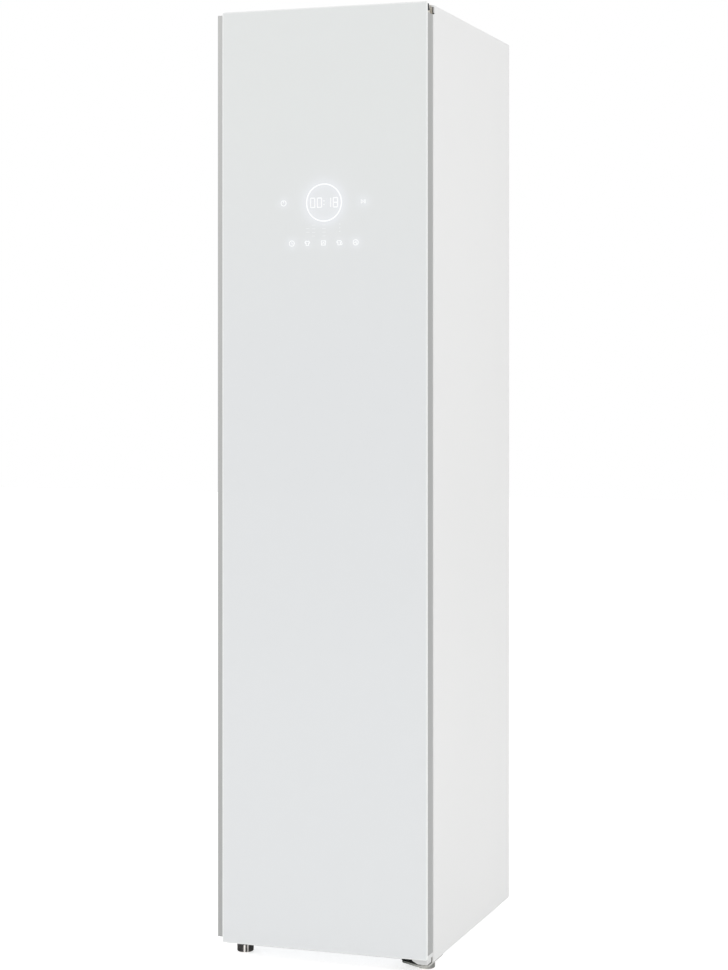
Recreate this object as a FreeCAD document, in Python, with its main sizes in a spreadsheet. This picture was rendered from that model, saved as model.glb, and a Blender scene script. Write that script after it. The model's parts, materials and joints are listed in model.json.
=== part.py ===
import FreeCAD, Part
import os
import re

import Sketcher
from FreeCAD import Placement, Rotation, Vector

# Clothes care steam cabinet. Millimetres, +Z up, the door faces -Y and is hinged on the right.
# The origin is on the floor, under the centre of the cabinet and its door.

driving_sizes = {
    "Overall": {
        "total_wide": 431, "total_deep": 592, "total_tall": 1850,
    },
    "Door": {
        "glass_thick": 4, "glass_low": 30, "glass_corner": 3, "glass_arris": 0.8,
        "grip_out": 11, "grip_deep": 17, "grip_lip": 9, "grip_top_drop": 5, "grip_low_rise": 10,
        "door_deep": 36, "profile_wall": 2, "profile_return": 14,
        "notch_tall": 20, "rail_tall": 25, "cap_tall": 8, "boss_radius": 8, "boss_drop": 9,
        "boss_side": 1, "boss_wide": 30, "boss_back": 11,
        "liner_sheet": 3, "plateau_wide": 330, "plateau_deep": 8, "plateau_low": 430,
        "plateau_top_in": 135, "plateau_round": 5,
        "seal_gap": 6, "gasket_wide": 12, "gasket_side": 12.5, "gasket_low": 20, "gasket_top": 24,
        "display_off": 7, "display_drop": 410, "display_wide": 220, "display_tall": 150,
        "display_deep": 12,
    },
    "Hinges": {
        "pin_in": 12, "pin_back": 18, "pin_radius": 4, "pin_long": 16, "running_gap": 0.05,
        "hinge_plate": 4, "arm_round": 9, "top_arm_wide": 21, "top_arm_side": 5,
        "top_plate_wide": 58, "top_plate_thick": 3, "top_web_tall": 14, "arm_gap": 1,
        "low_arm_wide": 62, "low_arm_deep": 110, "low_arm_shoulder": 34, "low_arm_edge": 2,
        "ear_wide": 8, "ear_thick": 4.5, "ear_gap": 0.5, "ear_drop": 1,
        "screw_head_radius": 5, "screw_head_tall": 1.8,
    },
    "Press": {
        "press_wide": 270, "press_low": 560, "press_drop": 290, "press_board_deep": 6,
        "press_plate_deep": 9, "press_pin_off": 8, "press_pin_radius": 3, "press_ear_tall": 20,
        "press_knuckle": 6, "press_side": 4, "press_round": 14,
    },
    "Shell": {
        "sheet": 1, "panel_bend": 4, "front_flange": 22, "rear_flange": 14, "body_low": 18,
        "body_top_drop": 1, "rail_deep": 4, "lip_tall": 14,
        "slot_wide": 70, "slot_tall": 3.5, "slot_pitch": 14, "slot_rows": 7, "slot_low": 130,
        "slot_side": 100, "bead_wide": 16, "bead_deep": 1.5, "bead_side": 30, "bead_end": 90,
        "rear_screw_rows": 4, "hinge_slot_wide": 5, "hinge_slot_deep": 6, "hinge_slot_tall": 14,
        "hinge_slot_drop": 3.3,
        "gland_side": 50.5, "gland_level": 80, "gland_radius": 8, "gland_flange": 13,
    },
    "Cavity": {
        "side_wall": 25.5, "floor_level": 390, "floor_thick": 6, "ceiling_drop": 104,
        "liner_wall": 2.5, "back_wall": 30, "ledge_wide": 8, "ledge_tall": 8, "ledge_low": 470,
        "ledge_front": 60, "ledge_deep": 380, "ceiling_thick": 4,
        "shelf_side": 2, "shelf_deep": 370, "shelf_thick": 7, "shelf_border": 22,
        "shelf_slots": 13, "shelf_slot_wide": 12, "shelf_slot_pitch": 25.5,
        "lamp_wide": 140, "lamp_deep": 24, "lamp_tall": 5, "lamp_in": 40,
    },
    "Air": {
        "duct_side": 65.5, "duct_low": 302, "duct_front": 20, "duct_back": 8, "duct_wall": 2.5,
        "filter_in": 45, "filter_wide": 190, "filter_deep": 28, "filter_drop": 62,
        "filter_gap": 1, "filter_lip": 6, "filter_lip_tall": 3, "filter_bar": 5,
        "filter_bars": 7, "filter_grip_wide": 50, "filter_grip_tall": 10,
        "coil_side": 15, "coil_deep": 70, "coil_tall": 76, "coil_fins": 16, "coil_fin": 1.6,
        "evaporator_in": 130, "condenser_in": 215,
        "blower_radius": 32, "blower_gap": 4, "blower_wide": 170, "blower_wall": 4,
        "blower_blades": 14, "blade_thick": 1.6, "blade_deep": 8, "blower_shaft": 3,
        "blower_box_deep": 84, "outlet_deep": 26, "blower_back": 10, "inlet_tall": 40,
    },
    "Tanks": {
        "bay_deep": 181, "bay_wall": 2.5, "bay_low": 55, "bay_top": 302, "tank_side": 3,
        "tank_in": 27, "tank_deep": 145, "tank_tall": 205, "tank_wall": 2.5, "tank_round": 8,
        "lid_tall": 8, "lid_rim": 6, "filler_radius": 18, "filler_flats": 20,
        "filler_collar": 6, "filler_in": 38,
        "pocket_wide": 96, "pocket_tall": 34, "pocket_deep": 20, "pocket_drop": 22,
    },
    "Machine": {
        "tray_thick": 2, "compressor_radius": 56, "compressor_crown": 34,
        "compressor_dome_tall": 20, "compressor_tall": 165, "compressor_side": 120.5,
        "compressor_in": 105, "mount_radius": 9, "mount_tall": 10, "mount_reach": 48,
        "mount_plate": 3, "boiler_radius": 36, "boiler_long": 190, "boiler_side": 50.5,
        "boiler_in": 40, "boiler_clear": 12, "boiler_round": 12, "saddle_wide": 12,
        "saddle_span": 50, "pipe_radius": 6, "pipe_wall": 2, "nozzle_radius": 14,
        "nozzle_tip": 3, "nozzle_tall": 12, "nozzle_in": 62,
        "pump_radius": 20, "pump_long": 60, "pump_side": 40, "pump_step": 55, "pump_in": 110,
        "control_wide": 110, "control_deep": 130, "control_tall": 60, "control_low": 228,
    },
    "Hanger drive": {
        "stroke_radius": 18, "rod_radius": 5, "rod_span": 110, "rod_long": 300, "rod_rise": 22,
        "post_wide": 12, "post_deep": 22, "yoke_wide": 120, "yoke_thick": 14,
        "crank_radius": 27, "crank_thick": 5, "crank_pin": 4, "crank_pin_gap": 0.9,
        "crank_rise": 3, "motor_half": 30, "motor_round": 6, "motor_tall": 36, "bracket_thick": 3,
        "bracket_wide": 90, "bracket_foot": 12, "bracket_span": 150, "arm_span": 160,
        "arm_wide": 14, "arm_deep": 12, "arm_slot_gap": 2, "rail_drop": 62, "rail_wide": 16,
        "hanger_tall": 24, "rail_long": 300, "notch_pitch": 44, "notch_wide": 8,
        "notch_deep": 7, "notch_count": 6,
    },
    "Feet": {
        "foot_radius": 16.5, "foot_flats": 24, "foot_rim": 1.5, "left_knob_top": 16,
        "right_knob_top": 12, "stud_radius": 4,
        "stud_top": 34, "nut_radius": 8, "nut_tall": 6, "left_foot_in": 34, "right_foot_in": 21,
        "foot_back": 64, "rear_foot_radius": 14, "rear_foot_in": 40, "rear_foot_back": 50,
    },
}

# Places that follow from the driving sizes, worked out in the document's own expressions.
places = {
    "left": "-total_wide / 2", "right": "total_wide / 2",
    "duct_half": "total_wide / 2 - duct_side", "coil_half": "duct_half - coil_side",
    "front": "-total_deep / 2",
    "rear_face": "total_deep / 2 - screw_head_tall",
    "inner_back": "rear_face - 2 * sheet",
    "glass_left": "left + grip_out", "glass_back": "front + glass_thick",
    "door_back": "front + door_deep", "body_front": "door_back + seal_gap",
    "door_left": "left + grip_deep + profile_wall",
    "pin_x": "right - pin_in", "pin_y": "front + pin_back",
    "rail_top": "total_tall - notch_tall", "cap_top": "glass_low + cap_tall",
    "core_low": "cap_top + rail_tall", "core_high": "rail_top - rail_tall",
    "body_top": "total_tall - body_top_drop", "ceiling_level": "body_top - ceiling_drop",
    "plateau_high": "total_tall - plateau_top_in", "display_level": "total_tall - display_drop",
    "press_high": "total_tall - press_drop",
    "boiler_x": "left + boiler_side", "gland_x": "left + gland_side",
    "compressor_x": "right - compressor_side",
    "side_in": "total_wide / 2 - sheet", "lip_end": "side_in - panel_bend + sheet",
    "rail_back": "body_front + rail_deep",
    "half_cavity": "total_wide / 2 - side_wall", "liner_out": "half_cavity + liner_wall",
    "cavity_back": "total_deep / 2 - back_wall", "floor_under": "floor_level - floor_thick",
    "ceiling_top": "ceiling_level + ceiling_thick",
    "tray_under": "body_low + sheet", "tray_top": "tray_under + tray_thick",
    "plateau_back": "door_back + plateau_deep", "board_back": "plateau_back + press_board_deep",
    "press_right": "press_wide / 2 - press_side", "press_left": "press_right - press_wide",
    "press_pin_x": "press_right + press_pin_off", "press_pin_y": "board_back + press_knuckle",
    "shelf_level": "ledge_low + ledge_tall",
    "filter_mid": "body_front + filter_in", "duct_inner": "duct_low + duct_wall",
    "blower_y": "cavity_back - duct_back - duct_wall - blower_back - blower_box_deep / 2",
    "blower_z": "duct_inner + coil_tall / 2",
    "blower_open": "blower_radius + blower_gap",
    "outlet_front": "blower_y - outlet_deep / 2", "outlet_back": "blower_y + outlet_deep / 2",
    "tank_low": "bay_low + bay_wall", "tank_high": "tank_low + tank_tall",
    "tank_front": "body_front + tank_in", "tank_back": "tank_front + tank_deep",
    "compressor_y": "inner_back - compressor_in", "mount_top": "tray_top + mount_tall",
    "boiler_z": "tray_top + boiler_clear + boiler_radius",
    "boiler_back": "inner_back - boiler_in", "nozzle_y": "cavity_back - nozzle_in",
    "drive_y": "(body_front + cavity_back) / 2",
    "rod_z": "ceiling_top + rod_rise", "yoke_top": "rod_z + yoke_thick / 2",
    "crank_low": "yoke_top + crank_rise", "crank_high": "crank_low + crank_thick",
    "bracket_low": "crank_high + crank_rise", "motor_low": "bracket_low + bracket_thick",
    "foot_y": "front + foot_back", "foot_left_x": "left + left_foot_in",
    "foot_right_x": "right - right_foot_in", "low_plate_low": "body_low - hinge_plate",
}

doc = FreeCAD.newDocument("SteamCabinet")
sheet = doc.addObject("Spreadsheet::Sheet", "Sizes")


first_corner = Vector(50, 0, 0)  # where a sketch's outline starts before its sizes pull it out


def fill_sheet():
    row = 1
    for group, sizes in driving_sizes.items():
        sheet.set(f"A{row}", group)
        row += 1
        for name, value in sizes.items():
            sheet.set(f"A{row}", name.replace("_", " "))
            sheet.set(f"B{row}", str(value))
            sheet.setAlias(f"B{row}", name)
            row += 1
    doc.recompute()


def sized(text):
    """Turns plain words into an expression on the sheet's cells."""
    def cell(found):
        word = found.group(0)
        return f"({sized(places[word])})" if word in places else f"Sizes.{word}"
    return re.sub(r"[a-z][a-z_]*[a-z](?!\w*\()", cell, text)


def bind(thing, **properties):
    for name, text in properties.items():
        thing.setExpression(name.replace("__", "."), sized(text))


def solid(kind, name, at, turn=None):
    thing = doc.addObject(f"Part::{kind}", name)
    if turn:
        thing.Placement = Placement(Vector(), Rotation(*turn))
    bind(thing, Placement__Base__x=at[0], Placement__Base__y=at[1], Placement__Base__z=at[2])
    return thing


def block(name, x, y, z):
    """A box between low and high ends along each axis."""
    box = solid("Box", name, (x[0], y[0], z[0]))
    bind(box, Length=f"{x[1]} - ({x[0]})", Width=f"{y[1]} - ({y[0]})", Height=f"{z[1]} - ({z[0]})")
    return box


turns = {"x": (Vector(0, 1, 0), 90), "y": (Vector(1, 0, 0), -90), "z": None}


def rod(name, radius, axis, at, long):
    """A cylinder from the point at, along +axis."""
    cylinder = solid("Cylinder", name, at, turns[axis])
    bind(cylinder, Radius=radius, Height=long)
    return cylinder


def joined(name, pieces):
    union = doc.addObject("Part::MultiFuse", name)
    union.Shapes = pieces
    union.Refine = True
    return union


def cut(name, base, tools):
    tool = tools[0] if len(tools) == 1 else joined(name + "_tools", tools)
    result = doc.addObject("Part::Cut", name)
    result.Base, result.Tool = base, tool
    result.Refine = True
    return result


def group(name, pieces):
    """Separate solids that share one node."""
    together = doc.addObject("Part::Compound", name)
    together.Links = pieces
    return together


def new_sketch(body, role, level):
    sketch = body.newObject("Sketcher::SketchObject", body.Name + "_sketch")
    plane = next(f for f in body.Origin.OriginFeatures if f.Role == role)
    sketch.AttachmentSupport = [(plane, "")]
    sketch.MapMode = "FlatFace"
    sign = "-" if role == "XZ_Plane" else ""
    bind(sketch, AttachmentOffset__Base__z=f"{sign}({level})")
    return sketch


def hold_point(sketch, line, end, x, y):
    for way, text in (("DistanceX", x), ("DistanceY", y)):
        place = sketch.addConstraint(Sketcher.Constraint(way, -1, 1, line, end, 1.0))
        sketch.setExpression(f"Constraints[{place}]", sized(text))


def draw_outline(sketch, points):
    """A closed outline of straight edges, each corner held by the sheet's sizes."""
    first = sketch.GeometryCount
    count = len(points)
    start = [Rotation(Vector(0, 0, 1), 360.0 * i / count).multVec(first_corner)
             for i in range(count)]
    for i in range(count):
        sketch.addGeometry(Part.LineSegment(start[i], start[(i + 1) % count]))
    for i in range(count):
        following = first + (i + 1) % count
        sketch.addConstraint(Sketcher.Constraint("Coincident", first + i, 2, following, 1))
    for i, (x, y) in enumerate(points):
        hold_point(sketch, first + i, 1, x, y)


def draw_circle(sketch, x, y, radius):
    circle = sketch.addGeometry(Part.Circle(Vector(), Vector(0, 0, 1), 1.0))
    hold_point(sketch, circle, 3, x, y)
    place = sketch.addConstraint(Sketcher.Constraint("Radius", circle, 1.0))
    sketch.setExpression(f"Constraints[{place}]", sized(radius))


def rectangle(x, y):
    return [(x[0], y[0]), (x[1], y[0]), (x[1], y[1]), (x[0], y[1])]


def pad(body, role, outlines, low, high, circles=()):
    """Adds the outlines, extruded from low to high along the plane's axis."""
    sketch = new_sketch(body, role, high if role == "XZ_Plane" else low)
    for points in outlines:
        draw_outline(sketch, points)
    for x, y, radius in circles:
        draw_circle(sketch, x, y, radius)
    feature = body.newObject("PartDesign::Pad", body.Name + "_pad")
    feature.Profile = sketch
    bind(feature, Length=f"{high} - ({low})")
    return feature


def new_body(name):
    return doc.addObject("PartDesign::Body", name)


def extrusion(name, role, outlines, low, high, circles=()):
    body = new_body(name)
    pad(body, role, outlines, low, high, circles)
    return body


def soften(body, radius, wanted, kind="Fillet"):
    """Rounds or chamfers the edges that wanted picks."""
    doc.recompute()
    base = body.Tip
    names = [f"Edge{i + 1}" for i, edge in enumerate(base.Shape.Edges) if wanted(edge)]
    feature = body.newObject(f"PartDesign::{kind}", body.Name + "_" + kind.lower())
    feature.Base = (base, names)
    bind(feature, **{"Radius" if kind == "Fillet" else "Size": radius})
    body.Tip = feature
    return body


def runs_along(edge, axis):
    if edge.Curve.TypeId != "Part::GeomLine":
        return False
    return abs(edge.Curve.Direction.dot(axis)) > 0.999


def mirrored_x(name, thing):
    mirror = doc.addObject("Part::Mirroring", name)
    mirror.Source = thing
    mirror.Normal = Vector(1, 0, 0)
    return mirror


# ---- door ----

def make_door_glass():
    glass = extrusion(
        "door_glass", "XZ_Plane",
        [rectangle(("glass_left", "right"), ("glass_low", "total_tall"))], "front", "glass_back")
    soften(glass, "glass_corner", lambda e: runs_along(e, Vector(0, 1, 0)))
    soften(glass, "glass_arris", lambda e: abs(e.BoundBox.YMax - glass.Shape.BoundBox.YMin) < 0.01,
           "Chamfer")
    return glass


def make_grip_profile():
    """Extruded strip whose lip and rear flange leave a finger channel open to the left."""
    wall = "profile_wall"
    web = "left + grip_deep"
    outline = [
        ("left", "glass_back"), ("door_left", "glass_back"), ("door_left", "door_back"),
        (f"left + {wall}", "door_back"), (f"left + {wall}", f"door_back - {wall}"),
        (web, f"door_back - {wall}"), (web, f"glass_back + {wall}"),
        (f"left + {wall}", f"glass_back + {wall}"), (f"left + {wall}", "glass_back + grip_lip"),
        ("left", "glass_back + grip_lip"),
    ]
    return extrusion("grip_profile", "XY_Plane", [outline],
                     "glass_low + grip_low_rise", "total_tall - grip_top_drop")


def make_hinge_profile():
    wall = "profile_wall"
    end = "right - profile_return"
    outline = [
        ("right", "glass_back"), ("right", "door_back"), (end, "door_back"),
        (end, f"door_back - {wall}"), (f"right - {wall}", f"door_back - {wall}"),
        (f"right - {wall}", f"glass_back + {wall}"), (end, f"glass_back + {wall}"),
        (end, "glass_back"),
    ]
    return extrusion("hinge_profile", "XY_Plane", [outline], "cap_top", "rail_top")


def door_section():
    """What fills the door between its two profiles, the glass and the liner."""
    wall = "profile_wall"
    end = "right - profile_return"
    return [
        ("door_left", "glass_back"), (end, "glass_back"), (end, f"glass_back + {wall}"),
        (f"right - {wall}", f"glass_back + {wall}"), (f"right - {wall}", f"door_back - {wall}"),
        (end, f"door_back - {wall}"), (end, "door_back - liner_sheet"),
        ("door_left", "door_back - liner_sheet"),
    ]


def make_door_top_rail():
    rail = extrusion("top_rail_blank", "XY_Plane", [door_section()], "core_high", "rail_top")
    bore = rod("top_rail_bore", "pin_radius + running_gap", "z",
               ("pin_x", "pin_y", "rail_top - pin_long"), "pin_long")
    return cut("door_top_rail", rail, [bore])


def make_door_bottom_rail():
    """Plug between the profiles, end cap under them, and the hinge boss below the cap."""
    plug = extrusion("bottom_plug", "XY_Plane", [door_section()], "cap_top", "core_low")
    cap = block("bottom_cap", ("door_left", "right"), ("glass_back", "door_back"),
                ("glass_low", "cap_top"))
    low, side = "glass_low - boss_drop", "right - boss_side"
    boss = extrusion(
        "bottom_boss", "XZ_Plane",
        [[(f"{side} - boss_wide", "glass_low"), (f"{side} - boss_wide", f"{low} + 2 * boss_drop / 3"),
          (f"pin_x - boss_radius", low), (side, low), (side, "glass_low")]],
        "glass_back", "pin_y + boss_back")
    bore = rod("bottom_bore", "pin_radius + running_gap", "z",
               ("pin_x", "pin_y", "glass_low - boss_drop"), "boss_drop + pin_long")
    return cut("door_bottom_rail", joined("bottom_solid", [plug, cap, boss]), [bore])


def display_box(name, room="0"):
    return block(name, (f"display_off - display_wide / 2 - {room}",
                        f"display_off + display_wide / 2 + {room}"),
                 ("glass_back", f"glass_back + display_deep + {room}"),
                 (f"display_level - display_tall / 2 - {room}",
                  f"display_level + display_tall / 2 + {room}"))


def make_door_foam():
    core = extrusion("foam_blank", "XY_Plane", [door_section()], "core_low", "core_high")
    return cut("door_foam", core, [display_box("foam_pocket", "filter_gap / 2")])


def make_door_liner():
    """Inner panel of the door with a raised field that stands into the cavity."""
    end = "right - profile_return"
    liner = extrusion(
        "door_liner", "XZ_Plane", [rectangle(("door_left", end), ("cap_top", "rail_top"))],
        "door_back - liner_sheet", "door_back")
    pad(liner, "XZ_Plane",
        [rectangle(("-plateau_wide / 2", "plateau_wide / 2"), ("plateau_low", "plateau_high"))],
        "door_back", "plateau_back")
    soften(liner, "plateau_round",
           lambda e: abs(e.BoundBox.YMin - liner.Shape.BoundBox.YMax) < 0.01)
    return liner


def make_door_gasket():
    """Magnetic seal that closes on the front of the cabinet."""
    x = ("left + gasket_side", "right - gasket_side")
    z = ("glass_low + gasket_low", "total_tall - gasket_top")
    inner = rectangle((f"{x[0]} + gasket_wide", f"{x[1]} - gasket_wide"),
                      (f"{z[0]} + gasket_wide", f"{z[1]} - gasket_wide"))
    return extrusion("door_gasket", "XZ_Plane", [rectangle(x, z), inner],
                     "door_back", "body_front")


# ---- trouser press on the door ----

def make_press_board():
    board = extrusion(
        "press_base", "XZ_Plane",
        [rectangle(("press_left", "press_right"), ("press_low", "press_high"))],
        "plateau_back", "board_back")
    pieces = [board]
    for end, low in (("low", "press_low"), ("high", "press_high - press_ear_tall")):
        high = f"{low} + press_ear_tall"
        pieces.append(block(f"press_ear_{end}", ("press_right", "press_pin_x"),
                            ("plateau_back", "press_pin_y + press_knuckle"), (low, high)))
        pieces.append(rod(f"press_ear_round_{end}", "press_knuckle", "z",
                          ("press_pin_x", "press_pin_y", low), "press_ear_tall"))
    pieces.append(block("press_foot_strip", ("press_right", "press_pin_x + press_knuckle"),
                        ("plateau_back", "plateau_back + press_board_deep / 2"),
                        ("press_low", "press_high")))
    for end, low in (("low", "press_low + press_ear_tall"),
                     ("high", "press_high - 2 * press_ear_tall")):
        pieces.append(rod(f"press_stub_{end}", "press_pin_radius", "z",
                          ("press_pin_x", "press_pin_y", low), "press_ear_tall"))
    return joined("press_board", pieces)


def make_press_plate():
    """Clamping plate that swings on two stub pins of the board."""
    low, high = "press_low + press_ear_tall", "press_high - press_ear_tall"
    plate = extrusion(
        "press_leaf", "XZ_Plane",
        [rectangle(("press_left", "press_pin_x"), (f"{low} + filter_gap", f"{high} - filter_gap"))],
        "board_back + running_gap", "board_back + press_plate_deep")
    soften(plate, "press_round",
           lambda e: runs_along(e, Vector(0, 1, 0)) and e.BoundBox.XMax < 0)
    tube = rod("press_tube", "press_knuckle - running_gap", "z",
               ("press_pin_x", "press_pin_y", f"{low} + filter_gap"),
               f"{high} - ({low}) - 2 * filter_gap")
    bore = rod("press_bore", "press_pin_radius + running_gap", "z",
               ("press_pin_x", "press_pin_y", low), f"{high} - ({low})")
    return cut("press_plate", joined("press_plate_solid", [plate, tube]), [bore])


# ---- hinges ----

def make_top_hinge():
    """Bracket screwed to the cabinet's front, with an arm over the door and a pin down into it."""
    arm_low = "rail_top + arm_gap"
    arm_x = ("right - top_arm_side - top_arm_wide", "right - top_arm_side")
    plate_x = ("right - top_arm_side - top_plate_wide", "right - top_arm_side")
    plate = block("top_hinge_plate", plate_x, ("body_front - top_plate_thick", "body_front"),
                  (arm_low, "body_top"))
    arm = block("top_hinge_arm", arm_x, ("pin_y", "body_front - top_plate_thick"),
                (arm_low, f"{arm_low} + hinge_plate"))
    nose = rod("top_hinge_nose", "arm_round", "z", ("pin_x", "pin_y", arm_low), "hinge_plate")
    web = block("top_hinge_web", ("right - top_arm_side - top_plate_thick", "right - top_arm_side"),
                ("pin_y", "body_front - top_plate_thick"), (arm_low, f"{arm_low} + top_web_tall"))
    pin = rod("top_hinge_pin", "pin_radius", "z",
              ("pin_x", "pin_y", "rail_top - pin_long + arm_gap"), "pin_long")
    return joined("top_hinge", [plate, arm, nose, web, pin])


def top_screw_places():
    level = "rail_top + arm_gap + hinge_plate / 2"
    first = "right - top_arm_side - top_plate_wide + screw_head_radius + hinge_plate"
    return [(first, level), (f"{first} + 4 * screw_head_radius", level)]


def make_bottom_hinge():
    """Steel arm under the cabinet's corner that carries the door on an upright pin."""
    back = "front + low_arm_deep"
    left_end = "right - low_arm_wide"
    tip = "pin_y - arm_round"
    arm = extrusion(
        "bottom_arm", "XY_Plane",
        [[(left_end, back), (left_end, "front + low_arm_shoulder"), ("pin_x - arm_round", tip),
          ("right - low_arm_edge", tip), ("right - low_arm_edge", back)]],
        "low_plate_low", "body_low")
    soften(arm, "arm_round",
           lambda e: runs_along(e, Vector(0, 0, 1)) and e.BoundBox.YMax < arm_back_limit(arm))
    pin = rod("bottom_pin", "pin_radius", "z", ("pin_x", "pin_y", "body_low"),
              "glass_low - boss_drop + pin_long - body_low")
    washer = rod("bottom_washer", "boss_radius", "z", ("pin_x", "pin_y", "body_low"),
                 "glass_low - boss_drop - body_low")
    ear = block("bottom_ear", ("right - low_arm_edge - ear_wide", "right - low_arm_edge"),
                ("door_back + ear_gap", "door_back + ear_gap + ear_thick"),
                ("low_plate_low", "glass_low - ear_drop"))
    stud_hole = rod("bottom_stud_hole", "stud_radius + filter_gap", "z",
                    ("foot_right_x", "foot_y", "low_plate_low"), "hinge_plate")
    return cut("bottom_hinge", joined("bottom_hinge_solid", [arm, pin, washer, ear]), [stud_hole])


def arm_back_limit(arm):
    return arm.Shape.BoundBox.YMax - 1


def bottom_screw_places():
    back = "front + low_arm_deep - 2 * screw_head_radius"
    return [("right - low_arm_wide + 2 * screw_head_radius", back),
            ("right - 3 * screw_head_radius", back),
            ("right - low_arm_wide + 2 * screw_head_radius", "body_front + 2 * screw_head_radius")]


def prism(name, sides, radius, axis, at, long):
    flats = solid("Prism", name, at, turns[axis])
    flats.Polygon = sides
    bind(flats, Circumradius=radius, Height=long)
    return flats


def hex_head(name, radius, axis, at, long):
    """A six-sided screw head or nut."""
    return prism(name, 6, radius, axis, at, long)


def make_hinge_screws():
    screws = [hex_head(f"top_head_{i}", "screw_head_radius", "y",
                       (x, "body_front - top_plate_thick - screw_head_tall", z), "screw_head_tall")
              for i, (x, z) in enumerate(top_screw_places())]
    screws += [hex_head(f"low_head_{i}", "screw_head_radius", "z",
                        (x, y, "low_plate_low - screw_head_tall"), "screw_head_tall")
               for i, (x, y) in enumerate(bottom_screw_places())]
    return group("hinge_screws", screws)


# ---- outer shell ----

def make_side_panel_right():
    """Folded steel wall with front, rear and bottom flanges."""
    back = "rear_face - sheet"
    outline = [
        ("right", "body_front"), ("right", back), ("right - rear_flange", back),
        ("right - rear_flange", f"{back} - sheet"), ("side_in", f"{back} - sheet"),
        ("side_in", "body_front + sheet"), ("right - front_flange", "body_front + sheet"),
        ("right - front_flange", "body_front"),
    ]
    panel = extrusion("side_wall", "XY_Plane", [outline], "body_low", "body_top")
    soften(panel, "panel_bend", lambda e: runs_along(e, Vector(0, 0, 1))
           and at_corner(e, panel.Shape.BoundBox.XMax, panel.Shape.BoundBox.YMin, 0))
    soften(panel, "panel_bend - sheet", lambda e: runs_along(e, Vector(0, 0, 1))
           and at_corner(e, panel.Shape.BoundBox.XMax, panel.Shape.BoundBox.YMin, sheet.sheet))
    pad(panel, "XY_Plane",
        [rectangle(("right - rear_flange", "side_in"), ("body_front + panel_bend", f"{back} - sheet"))],
        "body_low", "tray_under")
    return panel


def at_corner(edge, x, y, inset):
    """Whether an upright edge stands inset from the corner x, y along both axes."""
    box = edge.BoundBox
    return abs(box.XMax - x + inset) < 0.01 and abs(box.YMin - y - inset) < 0.01


def make_side_panels():
    """The left wall mirrors the right one, which has a slot for the top hinge's bracket."""
    wall = make_side_panel_right()
    mirrored_x("side_panel_left", wall)
    slot = block("hinge_slot", ("right - hinge_slot_wide", "right"),
                 ("body_front", "body_front + hinge_slot_deep"),
                 ("body_top - hinge_slot_drop - hinge_slot_tall", "body_top - hinge_slot_drop"))
    cut("side_panel_right", wall, [slot])


def make_top_panel():
    """Lid with side lips turned down inside the side panels."""
    lip = "body_top - lip_tall"
    outline = [
        ("-side_in", "body_top"), ("-side_in", lip), ("-side_in + sheet", lip),
        ("-side_in + sheet", "body_top - sheet"), ("side_in - sheet", "body_top - sheet"),
        ("side_in - sheet", lip), ("side_in", lip), ("side_in", "body_top"),
    ]
    lid = extrusion("lid_blank", "XZ_Plane", [outline], "body_front + sheet", "inner_back")
    room = "panel_bend - sheet"
    reliefs = [block(f"lid_relief_{i}", x, ("body_front + sheet", "body_front + panel_bend"),
                     (lip, "body_top"))
               for i, x in enumerate((("-side_in", f"-side_in + {room}"),
                                      (f"side_in - ({room})", "side_in")))]
    return cut("top_panel", lid, reliefs)


def rear_slot(name, side):
    return block(name, (f"{side} * slot_side - slot_wide / 2", f"{side} * slot_side + slot_wide / 2"),
                 ("rear_face - sheet", "rear_face"),
                 ("slot_low", "slot_low + slot_tall"))


def row_of(name, tool, count, step):
    """Copies of a tool in a row; each one is placed by the pitch from the sheet."""
    copies = []
    for i in range(count):
        link = doc.addObject("Part::Compound", f"{name}_{i}")
        link.Links = [tool]
        axis, pitch = step
        bind(link, **{f"Placement__Base__{axis}": f"{i} * {pitch}"})
        copies.append(link)
    return copies


def rear_bead(name, middle):
    """A stiffening bead pressed outwards, open on the inside."""
    def form(part, inset, outer):
        x = (f"{middle} - bead_wide / 2 + {inset}", f"{middle} + bead_wide / 2 - {inset}")
        z = (f"slot_low + slot_rows * slot_pitch + bead_end + {inset}",
             f"body_top - bead_end - {inset}")
        body = extrusion(f"{name}_{part}", "XZ_Plane", [rectangle(x, z)], "rear_face - sheet", outer)
        return soften(body, f"bead_wide / 3 - {inset}", lambda e: runs_along(e, Vector(0, 1, 0)),
                      "Chamfer")
    return (form("skin", "0", "rear_face + bead_deep"),
            form("hollow", "sheet", "rear_face + bead_deep - sheet"))


def make_rear_panel():
    """Galvanised back with two pressed beads and two fields of vent slots."""
    flat = block("rear_sheet", ("left", "right"), ("rear_face - sheet", "rear_face"),
                 ("body_low", "body_top"))
    skins, hollows = zip(rear_bead("bead_left", "left / 2 + bead_side"),
                         rear_bead("bead_right", "right / 2 - bead_side"))
    panel = joined("rear_solid", [flat, *skins])
    slots = []
    for name, side in (("left", "-1"), ("right", "1")):
        slot = rear_slot(f"rear_slot_{name}", side)
        slots += row_of(f"rear_slots_{name}", slot, int(sheet.slot_rows), ("z", "slot_pitch"))
    gland_hole = rod("gland_hole", "gland_radius", "y",
                     ("gland_x", "rear_face - sheet", "gland_level"), "sheet")
    return cut("rear_panel", panel, slots + [gland_hole, *hollows])


def make_power_gland():
    barrel = rod("gland_barrel", "gland_radius", "y",
                 ("gland_x", "rear_face - 12 * sheet", "gland_level"), "12 * sheet")
    flange = hex_head("gland_nut", "gland_flange", "y", ("gland_x", "rear_face", "gland_level"),
                      "screw_head_tall")
    return joined("power_gland", [barrel, flange])


def make_rear_screws():
    screws = []
    rows = int(sheet.rear_screw_rows)
    for side in ("-1", "1"):
        x = f"{side} * (total_wide / 2 - rear_flange / 2)"
        for i in range(rows):
            z = f"body_low + rear_flange + (body_top - body_low - 2 * rear_flange) * {i} / {rows - 1}"
            screws.append(hex_head(f"rear_screw_{len(screws)}", "screw_head_radius - sheet", "y",
                                   (x, "rear_face", z), "screw_head_tall"))
    return group("rear_screws", screws)


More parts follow.
